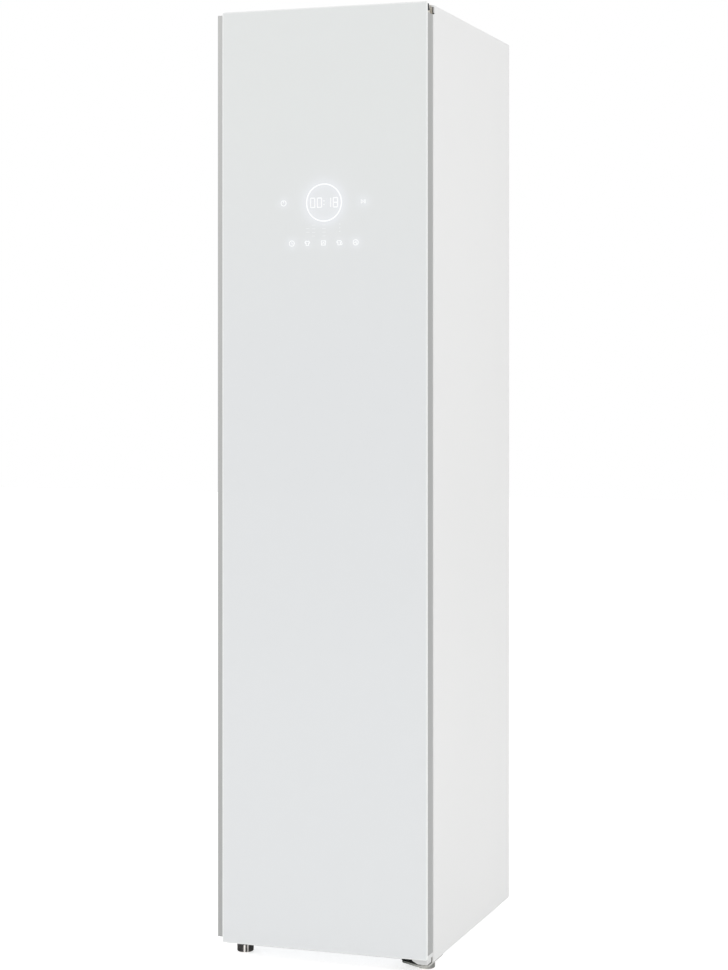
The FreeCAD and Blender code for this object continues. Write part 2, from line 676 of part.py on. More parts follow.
def make_base_tray():
    """Steel tray with upturned front and rear lips and weld nuts for the front feet."""
    thick = "tray_thick"
    outline = [
        ("rail_back", "tray_under"), ("inner_back", "tray_under"), ("inner_back", "bay_low"),
        (f"inner_back - {thick}", "bay_low"), (f"inner_back - {thick}", "tray_top"),
        (f"rail_back + {thick}", "tray_top"), (f"rail_back + {thick}", "bay_low"),
        ("rail_back", "bay_low"),
    ]
    tray = extrusion("tray_blank", "YZ_Plane", [outline], "-side_in", "side_in")
    nuts, holes = [], []
    for name in ("left", "right"):
        at = (f"foot_{name}_x", "foot_y")
        nuts.append(hex_head(f"weld_nut_{name}", "nut_radius", "z", (*at, "tray_top"), "nut_tall"))
        holes.append(rod(f"stud_hole_{name}", "stud_radius + running_gap", "z",
                         (*at, "tray_under"), "tray_thick + nut_tall"))
    return cut("base_tray", joined("tray_solid", [tray] + nuts), holes)


def make_front_rails():
    x, y = ("-half_cavity", "half_cavity"), ("body_front", "rail_back")
    block("top_rail", x, y, ("ceiling_level", "body_top - sheet"))
    block("middle_rail", x, y, ("bay_top", "floor_level"))
    block("kick_rail", x, y, ("body_low", "bay_low"))


# ---- cavity ----

def make_liner_side(side, sign):
    """Side wall of the cavity with a front lip behind the cabinet's flange and a shelf ledge."""
    front, lip = "body_front + sheet", "body_front + sheet + liner_wall"
    outline = [
        (f"{sign}half_cavity", front), (f"{sign}lip_end", front), (f"{sign}lip_end", lip),
        (f"{sign}liner_out", lip), (f"{sign}liner_out", "cavity_back"),
        (f"{sign}half_cavity", "cavity_back"),
    ]
    wall = extrusion(f"liner_wall_{side}", "XY_Plane", [outline], "floor_under", "ceiling_top")
    ends = (f"{sign}half_cavity", f"{sign}(half_cavity - ledge_wide)")
    low, high = ends if sign == "-" else ends[::-1]
    ledge = block(f"ledge_{side}", (low, high),
                  ("body_front + ledge_front", "body_front + ledge_front + ledge_deep"),
                  ("ledge_low", "shelf_level"))
    return joined(f"liner_{side}", [wall, ledge])


def make_liner_back():
    return block("liner_back", ("-liner_out", "liner_out"),
                 ("cavity_back", "cavity_back + liner_wall"), ("floor_under", "ceiling_top"))


def make_cavity_floor():
    """Floor moulding with the filter slot, the warm air outlet and the steam nozzle's hole."""
    half = "filter_wide / 2 + filter_gap"
    deep = "filter_deep / 2 + filter_gap"
    filter_hole = rectangle((f"-({half})", half), (f"filter_mid - ({deep})", f"filter_mid + {deep}"))
    outlet = rectangle(("-blower_wide / 2", "blower_wide / 2"), ("outlet_front", "outlet_back"))
    return extrusion(
        "cavity_floor", "XY_Plane",
        [rectangle(("-half_cavity", "half_cavity"), ("rail_back", "cavity_back")), filter_hole,
         outlet],
        "floor_under", "floor_level", [("boiler_x", "nozzle_y", "pipe_radius + filter_gap")])


def arm_slot(sign):
    half = "arm_wide / 2 + stroke_radius + arm_slot_gap"
    deep = "arm_deep / 2 + arm_slot_gap"
    middle = f"{sign}arm_span / 2"
    return rectangle((f"{middle} - ({half})", f"{middle} + {half}"),
                     (f"drive_y - ({deep})", f"drive_y + {deep}"))


def make_ceiling_panel():
    """Ceiling with two slots for the rail's arms and posts that hold the guide rods."""
    panel = extrusion(
        "ceiling_sheet", "XY_Plane",
        [rectangle(("-half_cavity", "half_cavity"), ("rail_back", "cavity_back")),
         arm_slot("-"), arm_slot("")],
        "ceiling_level", "ceiling_top")
    posts, bores = [], []
    for name, y in rod_lines():
        for side in ("-", ""):
            middle = f"{side}(rod_long / 2 - post_wide / 2)"
            posts.append(block(f"post_{name}{side or '+'}".replace("-", "l").replace("+", "r"),
                               (f"{middle} - post_wide / 2", f"{middle} + post_wide / 2"),
                               (f"{y} - post_deep / 2", f"{y} + post_deep / 2"),
                               ("ceiling_top", "rod_z + 2 * rod_radius")))
        bores.append(rod(f"post_bore_{name}", "rod_radius", "x", ("-rod_long / 2", y, "rod_z"),
                         "rod_long"))
    return cut("ceiling_panel", joined("ceiling_solid", [panel] + posts), bores)


def rod_lines():
    return (("near", "drive_y - rod_span / 2"), ("far", "drive_y + rod_span / 2"))


def make_insulation():
    y = ("body_front + panel_bend", "inner_back")
    z = ("floor_under", "ceiling_top")
    right = block("insulation_right", ("liner_out", "side_in"), y, z)
    mirrored_x("insulation_left", right)
    block("insulation_back", ("-liner_out", "liner_out"), ("cavity_back + liner_wall", "inner_back"),
          z)


def make_shelf():
    """Lift-out shelf with a border and a row of slots."""
    half = "half_cavity - shelf_side"
    front = "body_front + ledge_front + shelf_side"
    plate = block("shelf_plate", (f"-({half})", half), (front, f"{front} + shelf_deep"),
                  ("shelf_level", "shelf_level + shelf_thick"))
    count = int(sheet.shelf_slots)
    slots = []
    for i in range(count):
        middle = f"({i} - {(count - 1) / 2}) * shelf_slot_pitch"
        slots.append(block(f"shelf_slot_{i}",
                           (f"{middle} - shelf_slot_wide / 2", f"{middle} + shelf_slot_wide / 2"),
                           (f"{front} + shelf_border", f"{front} + shelf_deep - shelf_border"),
                           ("shelf_level", "shelf_level + shelf_thick")))
    return cut("shelf", plate, slots)


def make_cavity_lamp():
    return block("cavity_lamp", ("-lamp_wide / 2", "lamp_wide / 2"),
                 ("rail_back + lamp_in", "rail_back + lamp_in + lamp_deep"),
                 ("ceiling_level - lamp_tall", "ceiling_level"))


# ---- air circuit under the cavity ----

def make_air_duct():
    """Open-topped trough that the cavity floor closes."""
    x, y = ("-duct_half", "duct_half"), ("rail_back + duct_front", "cavity_back - duct_back")
    outer = block("duct_outer", x, y, ("duct_low", "floor_under"))
    inner = block("duct_hollow", (f"{x[0]} + duct_wall", f"{x[1]} - duct_wall"),
                  (f"{y[0]} + duct_wall", f"{y[1]} - duct_wall"), ("duct_inner", "floor_under"))
    return cut("air_duct", outer, [inner])


def make_lint_filter():
    """Filter cassette: a lip on the floor, a finger grip, and a frame with bars for the mesh."""
    half, deep = "filter_wide / 2", "filter_deep / 2"
    lip = block("filter_lip_plate", (f"-({half}) - filter_lip", f"{half} + filter_lip"),
                (f"filter_mid - {deep} - filter_lip", f"filter_mid + {deep} + filter_lip"),
                ("floor_level", "floor_level + filter_lip_tall"))
    case = block("filter_case", (f"-({half})", half),
                 (f"filter_mid - {deep}", f"filter_mid + {deep}"),
                 ("floor_level - filter_drop", "floor_level"))
    grip = block("filter_grip", ("-filter_grip_wide / 2", "filter_grip_wide / 2"),
                 ("filter_mid - filter_bar / 2", "filter_mid + filter_bar / 2"),
                 ("floor_level", "floor_level + filter_lip_tall + filter_grip_tall"))
    count = int(sheet.filter_bars)
    pitch = f"(filter_wide - filter_bar) / {count}"
    windows = [block(f"filter_window_{i}",
                     (f"-({half}) + filter_bar + {i} * {pitch}", f"-({half}) + {i + 1} * {pitch}"),
                     (f"filter_mid - {deep}", f"filter_mid + {deep}"),
                     ("floor_level - filter_drop + filter_bar", "floor_under - filter_bar"))
               for i in range(count)]
    return cut("lint_filter", joined("filter_solid", [lip, case, grip]), windows)


def make_coil(name, start):
    """Finned heat exchanger: end plates, fins and a return bend block."""
    x = ("-coil_half", "coil_half")
    y = (f"rail_back + {start}", f"rail_back + {start} + coil_deep")
    z = ("duct_inner", "duct_inner + coil_tall")
    core = block(f"{name}_core", x, (f"{y[0]} + coil_fin", f"{y[1]} - coil_fin"),
                 (f"{z[0]} + coil_fin", f"{z[1]} - coil_fin"))
    count = int(sheet.coil_fins)
    pitch = f"(2 * coil_half - coil_fin) / {count - 1}"
    fins = [block(f"{name}_fin_{i}",
                  (f"{x[0]} + {i} * {pitch}", f"{x[0]} + {i} * {pitch} + coil_fin"), y, z)
            for i in range(count)]
    return joined(name, [core] + fins)


def make_blower_housing():
    """Housing with the wheel's chamber, an inlet at the front and a chute up to the floor."""
    half, wall = "blower_wide / 2", "blower_wall"
    y = ("blower_y - blower_box_deep / 2", "blower_y + blower_box_deep / 2")
    outer = block("blower_outer", (f"-({half}) - {wall}", f"{half} + {wall}"), y,
                  ("duct_inner", "floor_under"))
    chamber = rod("blower_chamber", "blower_open", "x", (f"-({half})", "blower_y", "blower_z"),
                  "blower_wide")
    chute = block("blower_chute", (f"-({half})", half), ("outlet_front", "outlet_back"),
                  ("blower_z", "floor_under"))
    inlet = block("blower_inlet", (f"-({half})", half), (y[0], "blower_y"),
                  ("blower_z - inlet_tall / 2", "blower_z + inlet_tall / 2"))
    shaft = rod("blower_shaft_bore", "blower_shaft + running_gap", "x",
                (f"-({half}) - {wall}", "blower_y", "blower_z"), f"blower_wide + 2 * {wall}")
    return cut("blower_housing", outer, [chamber, chute, inlet, shaft])


def make_blower_wheel():
    """Squirrel-cage wheel: two discs, a ring of blades and a shaft through both."""
    half = "(blower_wide / 2 - blower_gap)"
    disc = "blade_deep / 2"
    count = int(sheet.blower_blades)
    pieces = [rod("wheel_shaft", "blower_shaft", "x",
                  ("-blower_wide / 2 - blower_wall", "blower_y", "blower_z"),
                  "blower_wide + 2 * blower_wall")]
    for name, x in (("left", f"-{half}"), ("right", f"{half} - {disc}")):
        pieces.append(prism(f"wheel_disc_{name}", 2 * count, "blower_radius", "x",
                            (x, "blower_y", "blower_z"), disc))
    blade = block("wheel_blade", (f"-{half}", half), ("-blade_thick / 2", "blade_thick / 2"),
                  ("blower_radius - blade_deep", "blower_radius - blade_thick"))
    for i in range(count):
        turned = doc.addObject("Part::Compound", f"wheel_blade_{i}")
        turned.Links = [blade]
        turned.Placement = Placement(Vector(), Rotation(Vector(1, 0, 0), 360.0 * i / count))
        bind(turned, Placement__Base__y="blower_y", Placement__Base__z="blower_z")
        pieces.append(turned)
    return joined("blower_wheel", pieces)


# ---- tanks ----

def make_tank_bay():
    """Housing behind the door's lower part, with one bay for each tank."""
    y = ("rail_back", "body_front + bay_deep")
    outer = block("bay_outer", ("-half_cavity", "half_cavity"), y, ("bay_low", "bay_top"))
    wall = "bay_wall"
    hollows = []
    for name, x in (("left", (f"-half_cavity + {wall}", f"-{wall} / 2")),
                    ("right", (f"{wall} / 2", f"half_cavity - {wall}"))):
        hollows.append(block(f"bay_hollow_{name}", x, (y[0], f"{y[1]} - {wall}"),
                             (f"bay_low + {wall}", f"bay_top - {wall}")))
    shell = cut("bay_shell", outer, hollows)
    front = ("body_front + sheet", "body_front + sheet + liner_wall")
    lips = [block("bay_lip_left", ("-lip_end", "-half_cavity"), front, ("bay_low", "bay_top")),
            block("bay_lip_right", ("half_cavity", "lip_end"), front, ("bay_low", "bay_top"))]
    return joined("tank_bay", [shell] + lips)


def tank_span(side):
    inner, outer = "bay_wall / 2 + tank_side", "half_cavity - bay_wall - tank_side"
    return (f"-({outer})", f"-({inner})") if side == "left" else (inner, outer)


def make_tank(name, side):
    """Open tub with a finger pocket in its front wall."""
    x, wall = tank_span(side), "tank_wall"
    middle = f"({x[0]} + {x[1]}) / 2"
    outer = extrusion(f"{name}_outer", "XY_Plane", [rectangle(x, ("tank_front", "tank_back"))],
                      "tank_low", "tank_high")
    soften(outer, "tank_round", lambda e: runs_along(e, Vector(0, 0, 1)))
    hollow = extrusion(
        f"{name}_hollow", "XY_Plane",
        [rectangle((f"{x[0]} + {wall}", f"{x[1]} - {wall}"),
                   (f"tank_front + {wall}", f"tank_back - {wall}"))],
        f"tank_low + {wall}", "tank_high")
    soften(hollow, f"tank_round - {wall}", lambda e: runs_along(e, Vector(0, 0, 1)))
    shell = cut(f"{name}_shell", outer, [hollow])
    top = "tank_high - pocket_drop"
    bump = block(f"{name}_pocket_wall",
                 (f"{middle} - pocket_wide / 2 - {wall}", f"{middle} + pocket_wide / 2 + {wall}"),
                 (f"tank_front + {wall} / 2", f"tank_front + pocket_deep + {wall}"),
                 (f"{top} - pocket_tall - {wall}", f"{top} + {wall}"))
    pocket = block(f"{name}_pocket", (f"{middle} - pocket_wide / 2", f"{middle} + pocket_wide / 2"),
                   ("tank_front", "tank_front + pocket_deep"), (f"{top} - pocket_tall", top))
    return cut(name, joined(f"{name}_body", [shell, bump]), [pocket])


def make_tank_lid(name, side):
    """Lid with a rim inside the tub and a filler collar."""
    x, wall = tank_span(side), "tank_wall"
    middle = f"({x[0]} + {x[1]}) / 2"
    top = extrusion(f"{name}_top", "XY_Plane", [rectangle(x, ("tank_front", "tank_back"))],
                    "tank_high", "tank_high + lid_tall")
    soften(top, "tank_round", lambda e: runs_along(e, Vector(0, 0, 1)))
    room = f"({wall} + filter_gap / 2)"
    rim = extrusion(
        f"{name}_rim", "XY_Plane",
        [rectangle((f"{x[0]} + {room}", f"{x[1]} - {room}"),
                   (f"tank_front + {room}", f"tank_back - {room}")),
         rectangle((f"{x[0]} + {room} + {wall}", f"{x[1]} - {room} - {wall}"),
                   (f"tank_front + {room} + {wall}", f"tank_back - {room} - {wall}"))],
        "tank_high - lid_rim", "tank_high")
    soften(rim, f"tank_round - {room}",
           lambda e: runs_along(e, Vector(0, 0, 1)) and outside(e, rim))
    collar = prism(f"{name}_collar", int(sheet.filler_flats), f"filler_radius + {wall}", "z",
                   (middle, "tank_front + filler_in", "tank_high"), "lid_tall + filler_collar")
    filler = prism(f"{name}_filler", int(sheet.filler_flats), "filler_radius", "z",
                   (middle, "tank_front + filler_in", "tank_high"), "lid_tall + filler_collar")
    return cut(name, joined(f"{name}_solid", [top, rim, collar]), [filler])


def outside(edge, body):
    box = body.Shape.BoundBox
    return (min(abs(edge.BoundBox.XMin - box.XMin), abs(edge.BoundBox.XMax - box.XMax)) < 0.01
            and min(abs(edge.BoundBox.YMin - box.YMin), abs(edge.BoundBox.YMax - box.YMax)) < 0.01)


# ---- machine room ----

def make_compressor():
    """Welded can on a mounting plate."""
    at = ("compressor_x", "compressor_y")
    plate = block("compressor_plate", (f"{at[0]} - mount_reach - mount_radius",
                                       f"{at[0]} + mount_reach + mount_radius"),
                  (f"{at[1]} - mount_reach - mount_radius", f"{at[1]} + mount_reach + mount_radius"),
                  ("mount_top", "mount_top + mount_plate"))
    low = "mount_top + mount_plate"
    can = rod("compressor_can", "compressor_radius", "z", (*at, low), "compressor_tall")
    dome = solid("Cone", "compressor_dome", (*at, f"{low} + compressor_tall"))
    bind(dome, Radius1="compressor_radius", Radius2="compressor_crown",
         Height="compressor_dome_tall")
    return joined("compressor", [plate, can, dome])


def make_compressor_mounts():
    mounts = []
    for i, (sx, sy) in enumerate(((-1, -1), (1, -1), (1, 1), (-1, 1))):
        mounts.append(prism(f"mount_{i}", 8, "mount_radius", "z",
                            (f"compressor_x + {sx} * mount_reach",
                             f"compressor_y + {sy} * mount_reach", "tray_top"), "mount_tall"))
    return group("compressor_mounts", mounts)


def make_steam_generator():
    """Cast boiler block with rounded sides on two saddles."""
    start = "boiler_back - boiler_long"
    drum = extrusion(
        "boiler_block", "XZ_Plane",
        [rectangle(("boiler_x - boiler_radius", "boiler_x + boiler_radius"),
                   ("boiler_z - boiler_radius", "boiler_z + boiler_radius"))],
        start, "boiler_back")
    soften(drum, "boiler_round", lambda e: runs_along(e, Vector(0, 1, 0)))
    saddles = []
    for i, y in enumerate((f"{start} + saddle_span / 2",
                           "boiler_back - saddle_span / 2 - saddle_wide")):
        saddles.append(block(f"saddle_{i}",
                             ("boiler_x - boiler_radius + boiler_round",
                              "boiler_x + boiler_radius - boiler_round"),
                             (y, f"{y} + saddle_wide"), ("tray_top", "boiler_z - boiler_radius")))
    return joined("steam_generator", [drum] + saddles)


def make_steam_nozzle():
    """Outlet cap on the cavity floor, with its pipe down to the boiler."""
    at = ("boiler_x", "nozzle_y")
    low = "boiler_z + boiler_radius"
    pipe = rod("nozzle_pipe", "pipe_radius", "z", (*at, low), f"floor_level - ({low})")
    cap = rod("nozzle_cap", "nozzle_radius", "z", (*at, "floor_level"), "nozzle_tall - nozzle_tip")
    tip = rod("nozzle_tip_disc", "nozzle_radius - nozzle_tip", "z", (*at, "floor_level"), "nozzle_tall")
    mouth = rod("nozzle_mouth", "pipe_radius - pipe_wall", "z", (*at, low),
                f"floor_level + nozzle_tall - ({low})")
    return cut("steam_nozzle", joined("nozzle_solid", [pipe, cap, tip]), [mouth])


def make_water_pumps():
    """Feed pump and drain pump side by side."""
    pumps = []
    for i in range(2):
        x = f"-pump_side + {i} * pump_step"
        y = "body_front + bay_deep + pump_in"
        motor = rod(f"pump_motor_{i}", "pump_radius", "y", (x, y, "tray_top + pump_radius"),
                    "pump_long")
        head = block(f"pump_head_{i}", (f"{x} - pump_radius", f"{x} + pump_radius"),
                     (f"{y} - pump_radius", y), ("tray_top", "tray_top + 2 * pump_radius"))
        foot = block(f"pump_foot_{i}", (f"{x} - pump_radius / 2", f"{x} + pump_radius / 2"),
                     (y, f"{y} + pump_long"), ("tray_top", "tray_top + pump_radius"))
        pumps.append(joined(f"pump_{i}", [motor, head, foot]))
    return group("water_pumps", pumps)


def make_control_box():
    return block("control_box", ("side_in - control_wide / 2", "side_in"),
                 ("body_front + bay_deep + pump_in", "body_front + bay_deep + pump_in + control_deep"),
                 ("control_low", "control_low + control_tall"))


# ---- hanger drive ----

def make_guide_rods():
    return group("guide_rods", [
        rod(f"guide_rod_{name}", "rod_radius", "x", ("-rod_long / 2", y, "rod_z"), "rod_long")
        for name, y in rod_lines()])


def make_hanger_yoke():
    """Slider on the guide rods, with the crank's slot across it and two arms for the rail."""
    z = ("rod_z - yoke_thick / 2", "yoke_top")
    plate = block("yoke_plate", ("-yoke_wide / 2", "yoke_wide / 2"),
                  ("drive_y - rod_span / 2 - post_deep / 2",
                   "drive_y + rod_span / 2 + post_deep / 2"), z)
    beam = block("yoke_beam", ("-arm_span / 2 - arm_wide / 2", "arm_span / 2 + arm_wide / 2"),
                 ("drive_y - post_deep / 2", "drive_y + post_deep / 2"), z)
    rail_top = "ceiling_level - rail_drop"
    arms = []
    for name, side in (("left", "-"), ("right", "")):
        middle = f"{side}arm_span / 2"
        arms.append(block(f"yoke_arm_{name}",
                          (f"{middle} - arm_wide / 2", f"{middle} + arm_wide / 2"),
                          ("drive_y - arm_deep / 2", "drive_y + arm_deep / 2"),
                          (rail_top, "rod_z")))
    room = "(crank_pin + crank_pin_gap)"
    slot = block("yoke_slot", (f"-{room}", room),
                 (f"drive_y - stroke_radius - {room}", f"drive_y + {room}"), z)
    bores = [rod(f"yoke_bore_{name}", "rod_radius + running_gap", "x",
                 ("-yoke_wide / 2", y, "rod_z"), "yoke_wide") for name, y in rod_lines()]
    return cut("hanger_yoke", joined("yoke_solid", [plate, beam] + arms), [slot] + bores)


def make_hanger_rail():
    """Bar under the two arms, notched on top for the hangers' hooks."""
    top = "ceiling_level - rail_drop"
    bar = block("rail_bar", ("-rail_long / 2", "rail_long / 2"),
                ("drive_y - rail_wide / 2", "drive_y + rail_wide / 2"),
                (f"{top} - hanger_tall", top))
    count = int(sheet.notch_count)
    notches = []
    for i in range(count):
        middle = f"({i} - {(count - 1) / 2}) * notch_pitch"
        notches.append(block(f"rail_notch_{i}",
                             (f"{middle} - notch_wide / 2", f"{middle} + notch_wide / 2"),
                             ("drive_y - rail_wide / 2", "drive_y + rail_wide / 2"),
                             (f"{top} - notch_deep", top)))
    return cut("hanger_rail", bar, notches)


def make_hanger_crank():
    """Crank disc with a pin down into the yoke's slot and a shaft up into the motor."""
    disc = rod("crank_disc", "crank_radius", "z", ("0", "drive_y", "crank_low"), "crank_thick")
    pin = rod("crank_stub", "crank_pin", "z",
              ("0", "drive_y - stroke_radius", "rod_z - yoke_thick / 4"),
              "crank_low - rod_z + yoke_thick / 4")
    shaft = rod("crank_shaft", "crank_pin", "z", ("0", "drive_y", "crank_high"),
                "motor_low + bracket_thick - crank_high")
    return joined("hanger_crank", [disc, pin, shaft])


def make_motor_bracket():
    """Bridge over the crank that stands on the ceiling panel."""
    half = "bracket_span / 2"
    x = ("-bracket_wide / 2", "bracket_wide / 2")
    thick = "bracket_thick"
    outline = [
        (f"drive_y - {half} - bracket_foot", "ceiling_top"),
        (f"drive_y - {half} + {thick}", "ceiling_top"),
        (f"drive_y - {half} + {thick}", "bracket_low"), (f"drive_y + {half} - {thick}", "bracket_low"),
        (f"drive_y + {half} - {thick}", "ceiling_top"),
        (f"drive_y + {half} + bracket_foot", "ceiling_top"),
        (f"drive_y + {half} + bracket_foot", f"ceiling_top + {thick}"),
        (f"drive_y + {half}", f"ceiling_top + {thick}"), (f"drive_y + {half}", "motor_low"),
        (f"drive_y - {half}", "motor_low"), (f"drive_y - {half}", f"ceiling_top + {thick}"),
        (f"drive_y - {half} - bracket_foot", f"ceiling_top + {thick}"),
    ]
    bridge = extrusion("bracket_blank", "YZ_Plane", [outline], *x)
    bore = rod("bracket_bore", "crank_pin + running_gap", "z", ("0", "drive_y", "bracket_low"),
               "bracket_thick")
    return cut("motor_bracket", bridge, [bore])


def make_hanger_motor():
    case = extrusion(
        "motor_case", "XY_Plane",
        [rectangle(("-motor_half", "motor_half"), ("drive_y - motor_half", "drive_y + motor_half"))],
        "motor_low", "motor_low + motor_tall")
    soften(case, "motor_round", lambda e: runs_along(e, Vector(0, 0, 1)))
    bore = rod("motor_bore", "crank_pin + running_gap", "z", ("0", "drive_y", "motor_low"),
               "2 * bracket_thick")
    return cut("hanger_motor", case, [bore])


# ---- feet ----

def make_front_foot(side):
    """Levelling foot: a fluted knob between two narrower rims, on a threaded stud."""
    at, top = (f"foot_{side}_x", "foot_y"), f"{side}_knob_top"
    flats = int(sheet.foot_flats)
    core = prism(f"foot_core_{side}", flats, "foot_radius - foot_rim", "z", (*at, "0"), top)
    knob = prism(f"foot_knob_{side}", flats, "foot_radius", "z", (*at, "foot_rim"),
                 f"{top} - 2 * foot_rim")
    stud = rod(f"foot_stud_{side}", "stud_radius", "z", (*at, top), f"stud_top - {top}")
    return joined(f"front_foot_{side}", [core, knob, stud])


def make_rear_feet():
    feet = []
    for side in ("-", ""):
        name = "left" if side else "right"
        feet.append(rod(f"rear_foot_{name}", "rear_foot_radius", "z",
                        (f"{side}(total_wide / 2 - rear_foot_in)", "inner_back - rear_foot_back",
                         "0"), "tray_under"))
    return group("rear_feet", feet)


def make_all():
    make_door_glass()
    make_grip_profile()
    make_hinge_profile()
    make_door_top_rail()
    make_door_bottom_rail()
    make_door_foam()
    make_door_liner()
    make_door_gasket()
    display_box("display_module")
    make_press_board()
    make_press_plate()
    make_top_hinge()
    make_bottom_hinge()
    make_hinge_screws()
    make_side_panels()
    make_top_panel()
    make_rear_panel()
    make_power_gland()
    make_rear_screws()
    make_base_tray()
    make_front_rails()
    make_liner_side("left", "-")
    make_liner_side("right", "")
    make_liner_back()
    make_cavity_floor()
    make_ceiling_panel()
    make_insulation()
    make_shelf()
    make_cavity_lamp()
    make_air_duct()
    make_lint_filter()
    make_coil("evaporator", "evaporator_in")
    make_coil("condenser", "condenser_in")
    make_blower_housing()
    make_blower_wheel()
    make_tank_bay()
    for name, side in (("supply_tank", "right"), ("drain_tank", "left")):
        make_tank(name, side)
        make_tank_lid(f"{name}_lid", side)
    make_compressor()
    make_compressor_mounts()
    make_steam_generator()
    make_steam_nozzle()
    make_water_pumps()
    make_control_box()
    make_guide_rods()
    make_hanger_yoke()
    make_hanger_rail()
    make_hanger_crank()
    make_motor_bracket()
    make_hanger_motor()
    make_front_foot("left")
    make_front_foot("right")
    make_rear_feet()


node_names = [
    "door_glass", "grip_profile", "hinge_profile", "door_top_rail", "door_bottom_rail",
    "door_foam", "door_liner", "door_gasket", "display_module", "press_board", "press_plate",
    "top_hinge", "bottom_hinge", "hinge_screws", "side_panel_left", "side_panel_right",
    "top_panel", "rear_panel", "power_gland", "rear_screws", "base_tray", "top_rail",
    "middle_rail", "kick_rail", "liner_left", "liner_right", "liner_back", "cavity_floor",
    "ceiling_panel", "insulation_left", "insulation_right", "insulation_back", "shelf",
    "cavity_lamp", "air_duct", "lint_filter", "evaporator", "condenser", "blower_housing",
    "blower_wheel", "tank_bay", "supply_tank", "supply_tank_lid", "drain_tank",
    "drain_tank_lid", "compressor", "compressor_mounts", "steam_generator", "steam_nozzle",
    "water_pumps", "control_box", "guide_rods", "hanger_yoke", "hanger_rail", "hanger_crank",
    "motor_bracket", "hanger_motor", "front_foot_left", "front_foot_right", "rear_feet",
]


def check_and_write():
    doc.recompute()
    for thing in doc.Objects:
        if "Invalid" in thing.State or "Error" in thing.State:
            raise RuntimeError(f"{thing.Name} failed: {thing.State}")
    os.makedirs("parts", exist_ok=True)
    for name in node_names:
        shape = doc.getObject(name).Shape
        if shape.isNull() or not shape.isValid() or not shape.Solids:
            raise RuntimeError(f"{name} has no valid solid")
        shape.exportStep(f"parts/{name}.step")
        print(name, len(shape.Solids), "solids", round(shape.Volume / 1000.0, 1), "cm3")


fill_sheet()
make_all()
check_and_write()
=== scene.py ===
import json
import math

import bmesh
import bpy
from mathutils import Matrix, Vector


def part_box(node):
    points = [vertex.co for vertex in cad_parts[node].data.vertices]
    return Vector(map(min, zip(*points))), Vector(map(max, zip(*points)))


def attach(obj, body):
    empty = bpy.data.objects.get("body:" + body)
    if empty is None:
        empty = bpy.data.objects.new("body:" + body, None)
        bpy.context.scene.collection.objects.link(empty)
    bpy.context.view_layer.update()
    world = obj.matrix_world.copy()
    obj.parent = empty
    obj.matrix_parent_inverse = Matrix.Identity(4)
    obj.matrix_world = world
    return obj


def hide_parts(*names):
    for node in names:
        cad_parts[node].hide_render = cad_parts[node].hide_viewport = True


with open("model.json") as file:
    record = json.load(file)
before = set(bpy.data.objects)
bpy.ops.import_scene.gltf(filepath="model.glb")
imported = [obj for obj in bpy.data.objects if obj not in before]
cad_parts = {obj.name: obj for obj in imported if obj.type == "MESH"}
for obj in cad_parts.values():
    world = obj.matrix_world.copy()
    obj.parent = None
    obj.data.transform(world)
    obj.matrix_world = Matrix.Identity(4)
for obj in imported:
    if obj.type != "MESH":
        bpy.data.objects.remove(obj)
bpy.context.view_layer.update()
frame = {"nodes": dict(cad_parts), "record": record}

mm = 0.001
print("frame loaded:", len(frame["nodes"]), "nodes")


# node helpers, for a material or the world
def plug(owner, value, socket):   # a socket takes a link or a plain value
    if hasattr(value, "node"):
        owner.node_tree.links.new(value, socket)
    else:
        socket.default_value = value


def addNode(owner, kind, **values):
    node = owner.node_tree.nodes.new("ShaderNode" + kind)
    for key, value in values.items():
        if key in node.inputs:
            plug(owner, value, node.inputs[key])
        else:
            setattr(node, key, value)
    return node


def calc(owner, operation, first, second=0.0, clamp=False):
    node = addNode(owner, "Math", operation=operation, use_clamp=clamp)
    plug(owner, first, node.inputs[0])
    plug(owner, second, node.inputs[1])
    return node.outputs[0]


def ramp(owner, value, start, end, low=0.0, high=1.0):   # start..end becomes low..high, and holds beyond
    ends = {"From Min": start, "From Max": end, "To Min": low, "To Max": high}
    return addNode(owner, "MapRange", Value=value, **ends).outputs["Result"]


def spread(owner, share, low, high):
    return ramp(owner, share, 0.0, 1.0, low, high)


def bell(mat, away, reach, level):   # full level where away is 0, fading out over the reach
    share = calc(mat, "DIVIDE", away, reach)
    fall = calc(mat, "MULTIPLY", share, calc(mat, "MULTIPLY", share, -1.0))
    return calc(mat, "MULTIPLY", calc(mat, "EXPONENT", fall), level)


# material helpers
def shaderOf(mat):
    return mat.node_tree.nodes["Principled BSDF"]


def setShader(mat, values):
    for key, value in values.items():
        shaderOf(mat).inputs[key].default_value = value


def newMaterial(name, colour, roughness, metal=0.0, ior=1.5):
    mat = bpy.data.materials.new(name)
    mat.use_nodes = True
    setShader(mat, {"Base Color": (*colour, 1), "Roughness": roughness, "Metallic": metal, "IOR": ior})
    return mat


def feed(mat, output, socket):
    mat.node_tree.links.new(output, shaderOf(mat).inputs[socket])


def objectPlace(mat, scale=(1, 1, 1), shift=(0, 0, 0)):
    coords = addNode(mat, "TexCoord").outputs["Object"]
    return addNode(mat, "Mapping", Vector=coords, Scale=scale, Location=shift).outputs["Vector"]


def axesOf(mat, unit=1.0, shift=(0, 0, 0)):
    return addNode(mat, "SeparateXYZ", Vector=objectPlace(mat, (unit,) * 3, shift)).outputs


def noise(mat, scale, detail=3.0, stretch=(1, 1, 1)):
    place = objectPlace(mat, stretch)
    return addNode(mat, "TexNoise", Vector=place, Scale=scale, Detail=detail).outputs["Fac"]


def tint(mat, share, first, second):   # either colour may be a plain one or another node's
    node = addNode(mat, "Mix", data_type="RGBA", Factor=share)
    for colour, socket in zip((first, second), (node.inputs[6], node.inputs[7])):
        plug(mat, colour if hasattr(colour, "node") else (*colour, 1), socket)
    return node.outputs[2]


